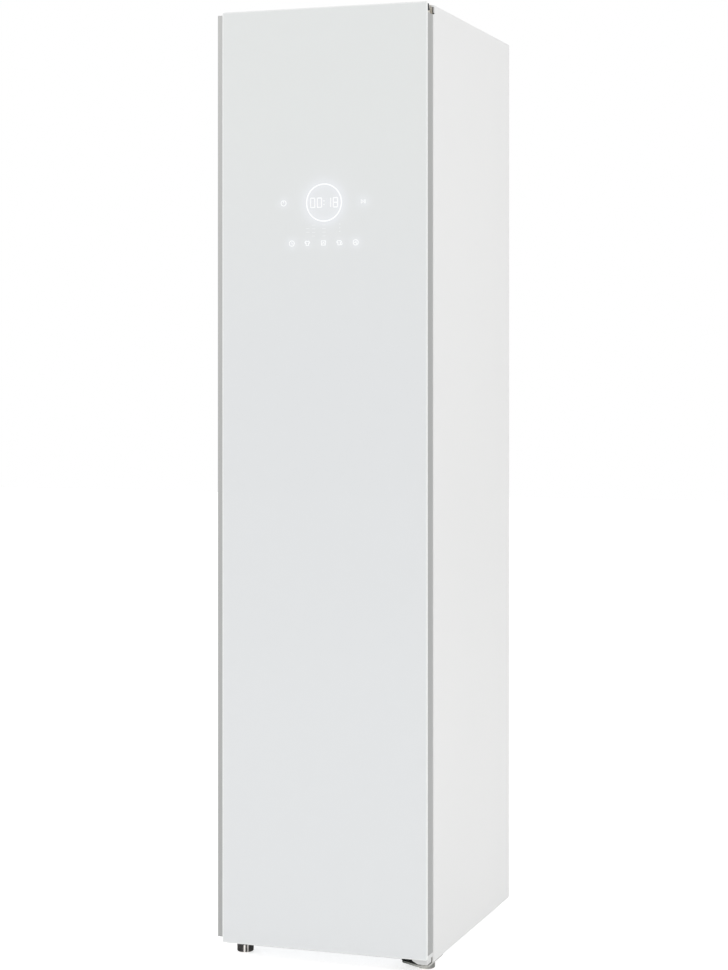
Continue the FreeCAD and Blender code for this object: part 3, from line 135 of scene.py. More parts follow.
def stain(mat, share, colour):   # lays a colour over the finish that is there
    under = shaderOf(mat).inputs["Base Color"].links[0].from_socket
    feed(mat, tint(mat, share, under, colour), "Base Color")


def roughen(mat, pattern, look):
    below, above = look["wander"]
    feed(mat, spread(mat, pattern, look["roughness"] - below, look["roughness"] + above), "Roughness")


def addBump(mat, height, relief, depth):
    node = addNode(mat, "Bump", Height=height, Strength=relief, Distance=depth)
    feed(mat, node.outputs["Normal"], "Normal")


# modelling helpers, sizes in millimetres
facingFront = (math.radians(90), 0, 0)


def boxOf(node):
    return [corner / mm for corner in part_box(node)]


def newPiece(name, kind, place, turn=(0, 0, 0), scale=(1, 1, 1), **sizes):
    bpy.ops.object.select_all(action="DESELECT")
    addPrimitive = getattr(bpy.ops.mesh, "primitive_" + kind + "_add")
    addPrimitive(location=[value * mm for value in place], rotation=turn, **sizes)
    piece = bpy.context.object
    piece.name = piece.data.name = name
    piece.scale = scale
    bpy.ops.object.transform_apply(location=True, rotation=True, scale=True)
    return piece


def newBlock(name, low, high):
    middle = [(first + last) / 2 for first, last in zip(low, high)]
    spans = [(last - first) * mm for first, last in zip(low, high)]
    return newPiece(name, "cube", middle, scale=spans, size=1)


def newRound(name, radius, low, high, centre, sides):
    return newPiece(name, "cylinder", (centre.x, centre.y, (low + high) / 2), vertices=sides,
                    radius=radius * mm, depth=(high - low) * mm)


def onlySelect(*pieces):
    bpy.ops.object.select_all(action="DESELECT")
    for piece in pieces:
        piece.select_set(True)
    bpy.context.view_layer.objects.active = pieces[0]


def leaveEdit():
    bpy.ops.object.mode_set(mode="OBJECT")


def pick(piece, kind, wanted=lambda part: True):   # enters edit mode with only the wanted parts selected
    if bpy.context.mode != "OBJECT":
        leaveEdit()
    onlySelect(piece)
    bpy.ops.object.mode_set(mode="EDIT")
    bpy.ops.mesh.select_mode(type=kind)
    bpy.ops.mesh.select_all(action="DESELECT")
    shape = bmesh.from_edit_mesh(piece.data)
    for part in {"VERT": shape.verts, "EDGE": shape.edges, "FACE": shape.faces}[kind]:
        part.select_set(bool(wanted(part)))
    bmesh.update_edit_mesh(piece.data)


def middleOf(part):
    corners = [corner.co for corner in part.verts]
    return sum(corners, Vector()) / len(corners) / mm


def at(axis, level, near=0.1):   # picks the parts whose middle lies at a level
    return lambda part: abs(getattr(middleOf(part), axis) - level) < near


def along(edge, axis):
    run = (edge.verts[1].co - edge.verts[0].co).normalized()
    return abs(getattr(run, axis)) > 0.9


def bevelEdges(piece, wanted, width, segments=2):
    pick(piece, "EDGE", wanted)
    bpy.ops.mesh.bevel(offset=width * mm, segments=segments, affect="EDGES")
    leaveEdit()


def extrudeBack(distance):   # away from the front
    bpy.ops.mesh.extrude_region_move(TRANSFORM_OT_translate={"value": (0, distance * mm, 0)})


def cutAway(piece, point, outward):   # takes off what lies outward of the point, and closes the cut
    pick(piece, "FACE")
    bpy.ops.mesh.bisect(plane_co=[value * mm for value in point], plane_no=outward, use_fill=True,
                        clear_outer=True)
    leaveEdit()


def remove(piece):
    onlySelect(piece)
    bpy.ops.object.delete()


def copyOf(piece, shift):
    onlySelect(piece)
    bpy.ops.object.duplicate(linked=False)
    twin = bpy.context.object
    twin.location = [value * mm for value in shift]
    bpy.ops.object.transform_apply(location=True, rotation=True, scale=True)
    return twin


def copiesAt(pattern, shifts):
    copies = [copyOf(pattern, shift) for shift in shifts]
    remove(pattern)
    return copies


def joinAs(name, pieces):
    onlySelect(*pieces)
    bpy.ops.object.join()
    whole = bpy.context.object
    whole.name = whole.data.name = name
    return whole


def tidyNormals(piece, near=0.01):
    pick(piece, "FACE")
    bpy.ops.mesh.remove_doubles(threshold=near * mm)
    bpy.ops.mesh.normals_make_consistent(inside=False)
    leaveEdit()


def settle(piece, body, slotName, replaced=(), mat=None, angle=35):
    onlySelect(piece)
    bpy.ops.object.shade_smooth_by_angle(angle=math.radians(angle))
    piece.data.materials.clear()
    piece.data.materials.append(mat or slotFinish[slotName])
    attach(piece, body)
    if replaced:
        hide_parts(*replaced)


# painted sheet: faint patches of tone under a fine orange peel
coatLook = {"patchScale": 3.0, "wander": (0.05, 0.06), "peelDepth": 0.0004}
coats = {
    "whiteSteel": {"colour": (0.80, 0.80, 0.795), "shade": (0.775, 0.777, 0.775), "roughness": 0.42,
                   "peelScale": 520.0, "peel": 0.12},
    "blackSteel": {"colour": (0.02, 0.02, 0.022), "shade": (0.03, 0.03, 0.03), "roughness": 0.35,
                   "peelScale": 260.0, "peel": 0.2},
}


def makePowderCoat(name):
    look = coatLook | coats[name]
    mat = newMaterial(name, look["colour"], look["roughness"])
    patches = noise(mat, look["patchScale"], detail=2.0)
    feed(mat, tint(mat, patches, look["colour"], look["shade"]), "Base Color")
    peel = noise(mat, look["peelScale"], detail=2.0)
    roughen(mat, peel, look)
    addBump(mat, peel, look["peel"], look["peelDepth"])
    return mat


# bare and plated metal: a fine grain along the piece, and clouds of tone
metalLook = {"cloudScale": 6.0, "wander": (0.08, 0.1), "grainDepth": 0.0003}
extruded = {"roughness": 0.36, "grainScale": 900.0, "grain": (1, 1, 0.004), "relief": 0.12}
pressed = {"grainScale": 700.0, "grain": (1, 0.02, 1), "relief": 0.1}
nickel = {**pressed, "colour": (0.45, 0.445, 0.42), "shade": (0.30, 0.30, 0.285), "roughness": 0.26}
# painted shade: the door's profiles are darker towards their foot
profileShadeRise = {"top": 1.85, "cloud": 0.1}   # the door's profiles are a touch lighter towards their top
metals = {
    "satinAluminium": {**extruded, "colour": (0.44, 0.448, 0.445), "shade": (0.405, 0.412, 0.412)},
    # the grip and hinge-side profiles are one aluminium; their different tones are painted light and shade
    "gripAluminium": {**extruded, "colour": (0.51, 0.513, 0.505), "shade": (0.345, 0.348, 0.345),
                      "rise": profileShadeRise},
    "sideAluminium": {**extruded, "colour": (0.405, 0.408, 0.402), "shade": (0.315, 0.317, 0.315),
                      "rise": profileShadeRise},
    "nickelSteel": nickel,
    # the arm's dark end colour is painted shade
    "armNickel": {**nickel, "paintedShade": (0.10, 0.108, 0.10), "paintedShadeRange": (0.158, 0.20)},
    "paleNickel": {**pressed, "colour": (0.70, 0.67, 0.61), "shade": (0.55, 0.53, 0.49), "roughness": 0.3},
    "zincPlate": {"colour": (0.62, 0.62, 0.63), "shade": (0.50, 0.51, 0.50), "roughness": 0.3,
                  "grainScale": 500.0, "grain": (1, 1, 1), "relief": 0.08},
    "darkNickel": {"colour": (0.34, 0.33, 0.32), "shade": (0.22, 0.21, 0.21), "roughness": 0.2,
                   "grainScale": 600.0, "grain": (1, 1, 0.05), "relief": 0.1},
    "finStock": {"colour": (0.70, 0.72, 0.74), "shade": (0.58, 0.60, 0.62), "roughness": 0.38,
                 "grainScale": 500.0, "grain": (0.05, 1, 1), "relief": 0.1},
}


def makeBrushedMetal(name, kind=None):
    look = metalLook | metals[kind or name]
    mat = newMaterial(name, look["colour"], look["roughness"], metal=1.0)
    grain = noise(mat, look["grainScale"], detail=4.0, stretch=look["grain"])
    cloud = noise(mat, look["cloudScale"], detail=2.0)
    if "rise" in look:
        # painted shade by height, the profile darker lower down
        height = ramp(mat, axesOf(mat)["Z"], 0.0, look["rise"]["top"])
        drift = spread(mat, cloud, -look["rise"]["cloud"], look["rise"]["cloud"])
        cloud = calc(mat, "ADD", height, drift, clamp=True)
    feed(mat, tint(mat, cloud, look["shade"], look["colour"]), "Base Color")
    roughen(mat, grain, look)
    addBump(mat, grain, look["relief"], look["grainDepth"])
    return mat


def makeArmNickel():   # painted shade, darker towards the arm's free end under the door
    look = metals["armNickel"]
    mat = makeBrushedMetal("armNickel")
    start, end = look["paintedShadeRange"]
    # painted shade laid over the arm's free end
    stain(mat, ramp(mat, axesOf(mat)["X"], start, end, 1.0, 0.0), look["paintedShade"])
    return mat


# moulded plastic, foam and rubber: spark-eroded skin, and clouds of tone
mouldedLook = {"sparkScale": 1400.0, "spark": 0.15, "sparkDepth": 0.0003, "cloudScale": 5.0,
               "wander": (0.06, 0.08)}
plastics = {
    "doorPlastic": {"colour": (0.74, 0.74, 0.735), "shade": (0.70, 0.70, 0.70), "roughness": 0.5},
    "linerPlastic": {"colour": (0.72, 0.74, 0.745), "shade": (0.69, 0.71, 0.72), "roughness": 0.42},
    "greyPlastic": {"colour": (0.33, 0.345, 0.36), "shade": (0.29, 0.305, 0.32), "roughness": 0.48},
    "darkPlastic": {"colour": (0.03, 0.03, 0.033), "shade": (0.02, 0.02, 0.022), "roughness": 0.5},
    "pressPlastic": {"colour": (0.50, 0.53, 0.555), "shade": (0.46, 0.49, 0.52), "roughness": 0.4},
    "rigidFoam": {"colour": (0.78, 0.72, 0.52), "shade": (0.66, 0.58, 0.38), "roughness": 0.85,
                  "sparkScale": 320.0, "spark": 0.7},
    "sealRubber": {"colour": (0.50, 0.51, 0.52), "shade": (0.45, 0.46, 0.47), "roughness": 0.62,
                   "spark": 0.1},
    "blackRubber": {"colour": (0.025, 0.025, 0.025), "shade": (0.04, 0.04, 0.038), "roughness": 0.7,
                    "sparkScale": 600.0, "spark": 0.3},
}


def makeMoulded(name):
    look = mouldedLook | plastics[name]
    mat = newMaterial(name, look["colour"], look["roughness"])
    spark = noise(mat, look["sparkScale"])
    cloud = noise(mat, look["cloudScale"], detail=2.0)
    feed(mat, tint(mat, cloud, look["colour"], look["shade"]), "Base Color")
    roughen(mat, spark, look)
    addBump(mat, spark, look["spark"], look["sparkDepth"])
    return mat


def makeGalvanised():
    look = {"bright": (0.60, 0.615, 0.63), "dull": (0.53, 0.545, 0.56), "spangle": 150.0,
            "stretch": (1, 0.3, 1), "roughness": (0.36, 0.46), "skin": 300.0, "relief": 0.06,
            "depth": 0.0003}
    mat = newMaterial("galvanisedSheet", look["bright"], look["roughness"][0], metal=1.0)
    cells = addNode(mat, "TexVoronoi", Vector=objectPlace(mat, look["stretch"]), Scale=look["spangle"])
    shade = addNode(mat, "SeparateColor", Color=cells.outputs["Color"]).outputs["Red"]
    feed(mat, tint(mat, shade, look["dull"], look["bright"]), "Base Color")
    feed(mat, spread(mat, shade, *look["roughness"]), "Roughness")
    addBump(mat, noise(mat, look["skin"]), look["relief"], look["depth"])
    return mat


def makeTankPlastic():
    look = {"colour": (0.50, 0.58, 0.66), "shade": (0.58, 0.65, 0.70), "ior": 1.49, "clear": 0.6,
            "cloudScale": 4.0, "frost": 40.0, "roughness": (0.12, 0.24), "relief": 0.05, "depth": 0.0005}
    mat = newMaterial("tankPlastic", look["colour"], look["roughness"][0], ior=look["ior"])
    setShader(mat, {"Transmission Weight": look["clear"]})
    frost = noise(mat, look["frost"])
    feed(mat, spread(mat, frost, *look["roughness"]), "Roughness")
    feed(mat, tint(mat, noise(mat, look["cloudScale"]), look["colour"], look["shade"]), "Base Color")
    addBump(mat, frost, look["relief"], look["depth"])
    return mat


def makeLampLens():
    look = {"colour": (0.9, 0.9, 0.86), "roughness": 0.3, "light": (1.0, 0.95, 0.86, 1), "glow": (1.0, 1.6),
            "ribScale": 95.0, "relief": 0.4, "depth": 0.0006}
    mat = newMaterial("lampLens", look["colour"], look["roughness"])
    setShader(mat, {"Emission Color": look["light"]})
    ribs = addNode(mat, "TexWave", Vector=objectPlace(mat), Scale=look["ribScale"]).outputs["Fac"]
    feed(mat, spread(mat, ribs, *look["glow"]), "Emission Strength")
    addBump(mat, ribs, look["relief"], look["depth"])
    return mat


# camera, floor and lights, in metres
studio = {
    "cameraPlace": (1.460, -4.278, 1.148), "turnLeft": 19.0, "lens": 81.65, "sensor": 36.0,
    "horizonPx": 371.3, "picture": (728, 970), "aim": (0, 0, 0.9), "skyLight": 0.70,
    "floorWide": 30.0, "floorDrop": 0.5, "floorTones": ((0.9, 0.9, 0.9), (0.88, 0.88, 0.88)),
    "floorPatches": 2.0, "floorRoughness": 0.9, "floorGlow": 0.66, "mirrorGlow": 0.42,
}
lamps = {
    "keyLamp": {"place": (-4.2, -1.5, 2.8), "side": 5.0, "watts": 94.0},
    "fillLamp": {"place": (3.6, -1.2, 2.0), "side": 3.6, "watts": 48.0},
}


def makeCamera():
    tall = studio["picture"][1]
    camData = bpy.data.cameras.new("mainCamera")
    camData.lens = studio["lens"]
    camData.sensor_width = studio["sensor"]
    camData.shift_y = (studio["horizonPx"] - tall / 2) / tall
    cam = bpy.data.objects.new("mainCamera", camData)
    cam.location = studio["cameraPlace"]
    cam.rotation_euler = (math.radians(90), 0, math.radians(studio["turnLeft"]))
    bpy.context.scene.collection.objects.link(cam)
    bpy.context.scene.camera = cam


def makeLamp(name, place, side, watts):
    lampData = bpy.data.lights.new(name, "AREA")
    lampData.shape = "SQUARE"
    lampData.size = side
    lampData.energy = watts
    lamp = bpy.data.objects.new(name, lampData)
    lamp.location = place
    lamp.rotation_euler = (Vector(studio["aim"]) - Vector(place)).to_track_quat("-Z", "Y").to_euler()
    bpy.context.scene.collection.objects.link(lamp)


def makeBackdrop():   # white where it is seen or mirrored, softer where it lights
    world = bpy.data.worlds.new("studioWorld")
    bpy.context.scene.world = world
    world.use_nodes = True
    backdrop = world.node_tree.nodes["Background"]
    backdrop.inputs["Color"].default_value = (1, 1, 1, 1)
    rays = addNode(world, "LightPath").outputs
    seen = calc(world, "ADD", rays["Is Camera Ray"], rays["Is Glossy Ray"])
    seen = calc(world, "ADD", seen, rays["Is Transmission Ray"], clamp=True)
    plug(world, spread(world, seen, studio["skyLight"], 1.0), backdrop.inputs["Strength"])


def makeFloor():
    floor = newPiece("studioFloor", "grid", (0, 0, -studio["floorDrop"]), size=studio["floorWide"],
                     x_subdivisions=4, y_subdivisions=4)
    mat = newMaterial("floorPaper", studio["floorTones"][0], studio["floorRoughness"])
    feed(mat, tint(mat, noise(mat, studio["floorPatches"]), *studio["floorTones"]), "Base Color")
    rays = addNode(mat, "LightPath").outputs
    mirrored = calc(mat, "ADD", rays["Is Glossy Ray"], rays["Is Transmission Ray"], clamp=True)
    mirrored = calc(mat, "MULTIPLY", mirrored, studio["mirrorGlow"])
    seen = calc(mat, "MULTIPLY", rays["Is Camera Ray"], studio["floorGlow"])
    setShader(mat, {"Emission Color": (1, 1, 1, 1)})
    feed(mat, calc(mat, "MAXIMUM", seen, mirrored), "Emission Strength")
    floor.data.materials.append(mat)


makeCamera()
for name, lamp in lamps.items():
    makeLamp(name, **lamp)
makeBackdrop()
makeFloor()
bpy.context.scene.view_settings.view_transform = "Standard"
print("stage ready")


# the door glass, and the signs' places on it as (x, z)
paneLow, paneHigh = boxOf("door_glass")
display = {
    "ring": (7.3, 1473.1), "ringRadius": 36.6, "power": (-76.0, 1473.7), "play": (87.5, 1473.4),
    "iconLevel": 1395.3,
    "icons": {"clock": -59.0, "shirt": -27.0, "box": 6.0, "check": 39.5, "fan": 72.0},
}


# white paint behind clear glass, with painted light on it: its tone drifts with height as a painted
# reflection, a painted glow lies round the lit signs, and a painted highlight pales the rim
def makeGlassFinish():
    look = {
        "upper": (0.812, 0.832, 0.826), "lower": (0.802, 0.819, 0.830), "turn": (1150.0, 1650.0),
        "patchScale": 2.2, "patchShift": 0.2, "roughness": 0.35, "rim": (0.89, 0.905, 0.90), "rimWide": 2.4,
        "glow": (0.875, 0.895, 0.92), "ringHalo": (11.0, 0.6), "innerHalo": (44.0, 0.8),
        "powerHalo": (11.0, 0.75), "playHalo": (14.0, 0.65), "iconReach": 12.0,
        "iconHalos": {"clock": 0.85, "shirt": 0.45, "box": 0.45, "check": 0.45, "fan": 0.85},
    }
    mat = newMaterial("paintedGlass", look["upper"], look["roughness"])
    setShader(mat, {"Coat Weight": 1.0, "Coat Roughness": 0.02, "Coat IOR": 1.52})
    axes = axesOf(mat, 1 / mm)
    x, z = axes["X"], axes["Z"]
    patches = noise(mat, look["patchScale"], detail=2.0)
    patches = spread(mat, patches, -look["patchShift"], look["patchShift"])
    # painted reflection: the paint's tone drifts with height, lighter and greener towards the top
    height = calc(mat, "ADD", ramp(mat, z, *look["turn"]), patches, clamp=True)
    paint = tint(mat, height, look["lower"], look["upper"])

    def squareFrom(value, centre):
        away = calc(mat, "SUBTRACT", value, centre)
        return calc(mat, "MULTIPLY", away, away)

    def distance(centreX, centreZ):
        return calc(mat, "SQRT", calc(mat, "ADD", squareFrom(x, centreX), squareFrom(z, centreZ)))

    # painted glow: the halos round the lit signs are light laid into the paint's colour
    ringAway = distance(*display["ring"])
    lineAway = calc(mat, "ABSOLUTE", calc(mat, "SUBTRACT", ringAway, display["ringRadius"]))
    glow = calc(mat, "ADD", bell(mat, lineAway, *look["ringHalo"]), bell(mat, ringAway, *look["innerHalo"]))
    halos = [(display["power"], *look["powerHalo"]), (display["play"], *look["playHalo"])]
    halos += [((display["icons"][icon], display["iconLevel"]), look["iconReach"], level)
              for icon, level in look["iconHalos"].items()]
    for place, reach, level in halos:
        glow = calc(mat, "ADD", glow, bell(mat, distance(*place), reach, level))
    lit = tint(mat, calc(mat, "MINIMUM", glow, 1.0), paint, look["glow"])

    def nearEdge(value, low, high):
        return calc(mat, "MINIMUM", calc(mat, "SUBTRACT", value, low), calc(mat, "SUBTRACT", high, value))

    # painted highlight: the paler rim along the pane's ground edge
    inside = calc(mat, "MINIMUM", nearEdge(x, paneLow.x, paneHigh.x), nearEdge(z, paneLow.z, paneHigh.z))
    rim = calc(mat, "LESS_THAN", inside, look["rimWide"])
    feed(mat, tint(mat, rim, lit, look["rim"]), "Base Color")
    return mat


# finishes on the CAD nodes
slotFinish = {
    "satin_aluminium": makeBrushedMetal("satinAluminium"),
    "coil_aluminium": makeBrushedMetal("finStock"),
    "hinge_steel": makeBrushedMetal("nickelSteel"),
    "screw_steel": makeBrushedMetal("zincPlate"),
    "foot_nickel": makeBrushedMetal("darkNickel"),
    "white_steel": makePowderCoat("whiteSteel"),
    "black_steel": makePowderCoat("blackSteel"),
    "galvanised": makeGalvanised(),
    "door_plastic": makeMoulded("doorPlastic"),
    "liner_plastic": makeMoulded("linerPlastic"),
    "grey_plastic": makeMoulded("greyPlastic"),
    "dark_plastic": makeMoulded("darkPlastic"),
    "press_plastic": makeMoulded("pressPlastic"),
    "foam": makeMoulded("rigidFoam"),
    "gasket": makeMoulded("sealRubber"),
    "rubber": makeMoulded("blackRubber"),
    "tank_plastic": makeTankPlastic(),
    "lamp_lens": makeLampLens(),
    "panel_glass": makeGlassFinish(),
}
nodeFinish = {
    "top_hinge": makeBrushedMetal("paleNickel"),
    "bottom_hinge": makeArmNickel(),
    "grip_profile": makeBrushedMetal("gripAluminium"),
    "hinge_profile": makeBrushedMetal("sideAluminium"),
}
for part in frame["record"]["subparts"]:
    for materialSlot in frame["nodes"][part["node"]].material_slots:
        materialSlot.material = nodeFinish.get(part["node"], slotFinish[part["material_slot"]])
print("CAD nodes dressed")


# door glass, a hair behind the CAD's face so that the lit signs stand on it
def makeDoorPane():
    plan = {"faceIn": 0.05, "corner": 3.0, "arris": 0.8, "backArris": 0.4}
    face = paneLow.y + plan["faceIn"]
    pane = newBlock("doorPane", (paneLow.x, face, paneLow.z), paneHigh)
    bevelEdges(pane, lambda edge: along(edge, "y"), plan["corner"], segments=5)
    bevelEdges(pane, at("y", face), plan["arris"])
    bevelEdges(pane, at("y", paneHigh.y), plan["backArris"], segments=1)
    settle(pane, "door", "panel_glass", ["door_glass"], angle=10)


# lit signs on the glass, each a flat outline that is drawn back into the pane
printLook = {"roughness": 0.3, "light": (0.97, 0.985, 1.0, 1), "flickerScale": 260.0}
prints = {
    "litPrint": {"colour": (0.95, 0.955, 0.96), "glow": (0.2, 0.28)},
    "softPrint": {"colour": (0.93, 0.94, 0.95), "glow": (0.14, 0.24)},
    "iconPrint": {"colour": (0.95, 0.955, 0.96), "glow": (0.2, 0.3)},
    "faintPrint": {"colour": (0.885, 0.9, 0.91), "glow": (0.01, 0.04)},
}


def makeLitPrint(name, look):
    mat = newMaterial(name, look["colour"], printLook["roughness"])
    setShader(mat, {"Emission Color": printLook["light"]})
    flicker = noise(mat, printLook["flickerScale"], detail=2.0)
    feed(mat, spread(mat, flicker, *look["glow"]), "Emission Strength")
    return mat


printFinish = {name: makeLitPrint(name, look) for name, look in prints.items()}


def newDisc(name, x, z, radius, sides):
    return newPiece(name, "circle", (x, paneLow.y, z), facingFront, vertices=sides,
                    radius=radius * mm, fill_type="NGON")


def makeRing(name, x, z, radius, stroke, sides, gap=0):
    ring = newDisc(name, x, z, radius, sides)
    pick(ring, "FACE")
    bpy.ops.mesh.inset(thickness=stroke * mm, depth=0)
    pick(ring, "FACE", lambda face: len(face.verts) > 4)
    bpy.ops.mesh.delete(type="FACE")
    if gap:   # opens the ring at its top
        pick(ring, "FACE", lambda face: abs(middleOf(face).x - x) < gap and middleOf(face).z > z)
        bpy.ops.mesh.delete(type="FACE")
    leaveEdit()
    return ring


def makeStroke(name, start, end, width):   # a hexagon drawn out between its two ends
    across, up = end[0] - start[0], end[1] - start[1]
    half = math.hypot(across, up) / 2
    stroke = newDisc(name, 0, 0, width / math.sqrt(3), 6)
    pick(stroke, "VERT", lambda corner: corner.co.z > 0)
    bpy.ops.transform.translate(value=(0, 0, half * mm))
    pick(stroke, "VERT", lambda corner: corner.co.z < 0)
    bpy.ops.transform.translate(value=(0, 0, -half * mm))
    leaveEdit()
    stroke.rotation_euler = (0, math.atan2(across, up), 0)
    stroke.location = ((start[0] + end[0]) / 2 * mm, 0, (start[1] + end[1]) / 2 * mm)
    bpy.ops.object.transform_apply(location=True, rotation=True, scale=True)
    return stroke


def makeLines(x, z, points, width, closed=True):
    corners = [(x + dx, z + dz) for dx, dz in points]
    following = corners[1:] + corners[:1] if closed else corners[1:]
    return [makeStroke("line", start, end, width) for start, end in zip(corners, following)]


def lightUp(name, shapes, finish, thick=0.25):
    sign = joinAs(name, shapes)
    pick(sign, "FACE")
    extrudeBack(thick)
    pick(sign, "FACE")
    bpy.ops.mesh.normals_make_consistent(inside=False)
    leaveEdit()
    settle(sign, "door", "lamp_lens", mat=printFinish[finish], angle=20)


def makeTimeRing():
    plan = {"stroke": 1.9, "sides": 96}
    ring = makeRing("ring", *display["ring"], display["ringRadius"], plan["stroke"], plan["sides"])
    lightUp("displayRing", [ring], "litPrint")


def makeTime():
    plan = {
        "digits": "0018", "middles": (-15.9, -2.0, 16.8, 30.7), "wide": 8.6, "tall": 18.0, "stroke": 1.75,
        "gap": 0.9, "dotRise": 3.4, "dot": 1.1, "dotSides": 12,
        "bars": {"0": 2, "1": 0, "8": 3}, "posts": {"0": 4, "1": 2, "8": 4},   # how many of each are lit
    }
    ringX, level = display["ring"]
    half, quarter = plan["wide"] / 2, plan["tall"] / 4
    bar = makeStroke("bar", (plan["gap"] - half, 0), (half - plan["gap"], 0), plan["stroke"])
    post = makeStroke("post", (0, plan["gap"] - quarter), (0, quarter - plan["gap"]), plan["stroke"])
    barPlaces = [(0, 2 * quarter), (0, -2 * quarter), (0, 0)]   # head, foot, middle
    postPlaces = [(side * half, rise * quarter) for side in (1, -1) for rise in (1, -1)]   # right first
    barShifts, postShifts = [], []
    for digit, middle in zip(plan["digits"], plan["middles"]):
        barShifts += [(middle + x, 0, level + z) for x, z in barPlaces[:plan["bars"][digit]]]
        postShifts += [(middle + x, 0, level + z) for x, z in postPlaces[:plan["posts"][digit]]]
    dots = copiesAt(newDisc("dot", ringX, level, plan["dot"], plan["dotSides"]),
                    [(0, 0, sign * plan["dotRise"]) for sign in (-1, 1)])
    lightUp("displayTime", copiesAt(bar, barShifts) + copiesAt(post, postShifts) + dots, "softPrint")


def makeKeys():
    plan = {
        "arc": {"radius": 5.9, "stroke": 1.3, "sides": 24, "gap": 1.3}, "powerBar": (0.6, 5.4), "bar": 1.2,
        "arrow": [(-4.4, -3.4), (-4.4, 3.4), (0.4, 0)], "arrowLine": 1.0, "pauseReach": 3.2,
        "pauseAt": (2.0, 4.4),
    }
    x, z = display["power"]
    low, high = plan["powerBar"]
    shapes = [makeRing("arc", x, z, **plan["arc"])]
    shapes.append(makeStroke("bar", (x, z + low), (x, z + high), plan["bar"]))
    x, z = display["play"]
    shapes += makeLines(x, z, plan["arrow"], plan["arrowLine"])
    bar = makeStroke("bar", (x, z - plan["pauseReach"]), (x, z + plan["pauseReach"]), plan["bar"])
    shapes += copiesAt(bar, [(shift, 0, 0) for shift in plan["pauseAt"]])
    lightUp("displayKeys", shapes, "softPrint")


def makeIcons():
    plan = {
        "ring": {"radius": 5.7, "stroke": 0.95, "sides": 28}, "line": 0.95, "fineLine": 0.8,
        "hands": [(0, 3.0), (0, 0), (2.2, -1.2)], "handLine": 0.75,
        "halfShirt": [(2.4, -4.4), (2.4, 0.6), (4.0, -0.4), (5.0, 1.6), (2.2, 4.4), (0.9, 3.6)],
        "box": [(-4.1, -4.1), (-4.1, 4.1), (4.1, 4.1), (4.1, -4.1)],
        "boxFold": [(-2.0, -1.6), (0.3, 1.2), (2.1, -1.2)],
        "shirtAside": -1.2, "tickPlace": (3.8, -3.0), "tick": [(-1.4, 0.2), (-0.2, -1.2), (2.2, 2.0)],
        "blades": 3, "bladeFrom": 0.8, "bladeTo": 3.2, "sweep": 0.3, "bladeLine": 1.0,
    }
    z = display["iconLevel"]
    icons = display["icons"]
    ring = makeRing("ring", 0, z, **plan["ring"])
    shapes = copiesAt(ring, [(icons["clock"], 0, 0), (icons["fan"], 0, 0)])
    shapes += makeLines(icons["clock"], z, plan["hands"], plan["handLine"], closed=False)
    otherHalf = [(-x, rise) for x, rise in reversed(plan["halfShirt"])]
    shirt = joinAs("shirt", makeLines(0, z, plan["halfShirt"] + otherHalf, plan["line"]))
    shapes += copiesAt(shirt, [(icons["shirt"], 0, 0), (icons["check"] + plan["shirtAside"], 0, 0)])
    shapes += makeLines(icons["box"], z, plan["box"], plan["line"])
    shapes += makeLines(icons["box"], z, plan["boxFold"], plan["fineLine"], closed=False)
    tickX, tickZ = plan["tickPlace"]
    shapes += makeLines(icons["check"] + tickX, z + tickZ, plan["tick"], plan["fineLine"], closed=False)
    for blade in range(plan["blades"]):
        angle = math.tau * blade / plan["blades"]
        ends = ((plan["bladeFrom"], angle), (plan["bladeTo"], angle + plan["sweep"]))
        start, end = [(icons["fan"] + reach * math.sin(turn), z + reach * math.cos(turn))
                      for reach, turn in ends]
        shapes.append(makeStroke("blade", start, end, plan["bladeLine"]))
    lightUp("displayIcons", shapes, "iconPrint")


def makeTicks():
    plan = {"rows": (1430, 1423, 1416, 1409), "columns": (-14, 7.3), "outer": ((-26, 1423.5), (-26, 1416.5)),
            "long": 6.0, "stroke": 0.9, "dotX": 39.7, "dotRise": 1.0, "dot": 1.2, "dotSides": 10}
    dash = makeStroke("dash", (-plan["long"] / 2, 0), (plan["long"] / 2, 0), plan["stroke"])
    places = [*plan["outer"], *((x, z) for x in plan["columns"] for z in plan["rows"])]
    dot = newDisc("dot", plan["dotX"], plan["dotRise"], plan["dot"], plan["dotSides"])
    shapes = copiesAt(dash, [(x, 0, z) for x, z in places])
    shapes += copiesAt(dot, [(0, 0, z) for z in plan["rows"][:3]])
    lightUp("displayTicks", shapes, "faintPrint")


makeDoorPane()
makeTimeRing()
makeTime()
makeKeys()
makeIcons()
makeTicks()
print("door glass and display ready")


# door seal: a frame of three layers, whose middle one is drawn in as a bellows
def makeDoorSeal():
    plan = {"wide": 12.0, "layers": 3, "groove": 1.4, "grooveIn": 0.35, "lip": 0.8}
    low, high = boxOf("door_gasket")
    middle = (low + high) / 2
    seal = newPiece("doorSeal", "plane", (middle.x, low.y, middle.z), facingFront,
                    ((high.x - low.x) * mm, (high.z - low.z) * mm, 1), size=1)
    pick(seal, "FACE")
    bpy.ops.mesh.inset(thickness=plan["wide"] * mm, depth=0)
    bpy.ops.mesh.delete(type="FACE")
    step = (high.y - low.y) / plan["layers"]
    for layer in range(plan["layers"]):
        pick(seal, "FACE", at("y", low.y + layer * step))
        extrudeBack(step)
    tidyNormals(seal)
    pick(seal, "FACE", at("y", middle.y))
    bpy.ops.mesh.inset(thickness=plan["grooveIn"] * mm, depth=-plan["groove"] * mm, use_even_offset=True)
    bevelEdges(seal, at("y", high.y), plan["lip"], segments=3)
    settle(seal, "door", "gasket", ["door_gasket"], angle=40)


# foam tape behind the top of the glass
def makeGlassTape():
    plan = {"low": (-196, -292, 1831), "high": (206, -290.2, 1848), "edge": 0.6}
    tape = newBlock("glassTape", plan["low"], plan["high"])
    bevelEdges(tape, at("y", plan["high"][1]), plan["edge"])
    settle(tape, "door", "rubber")


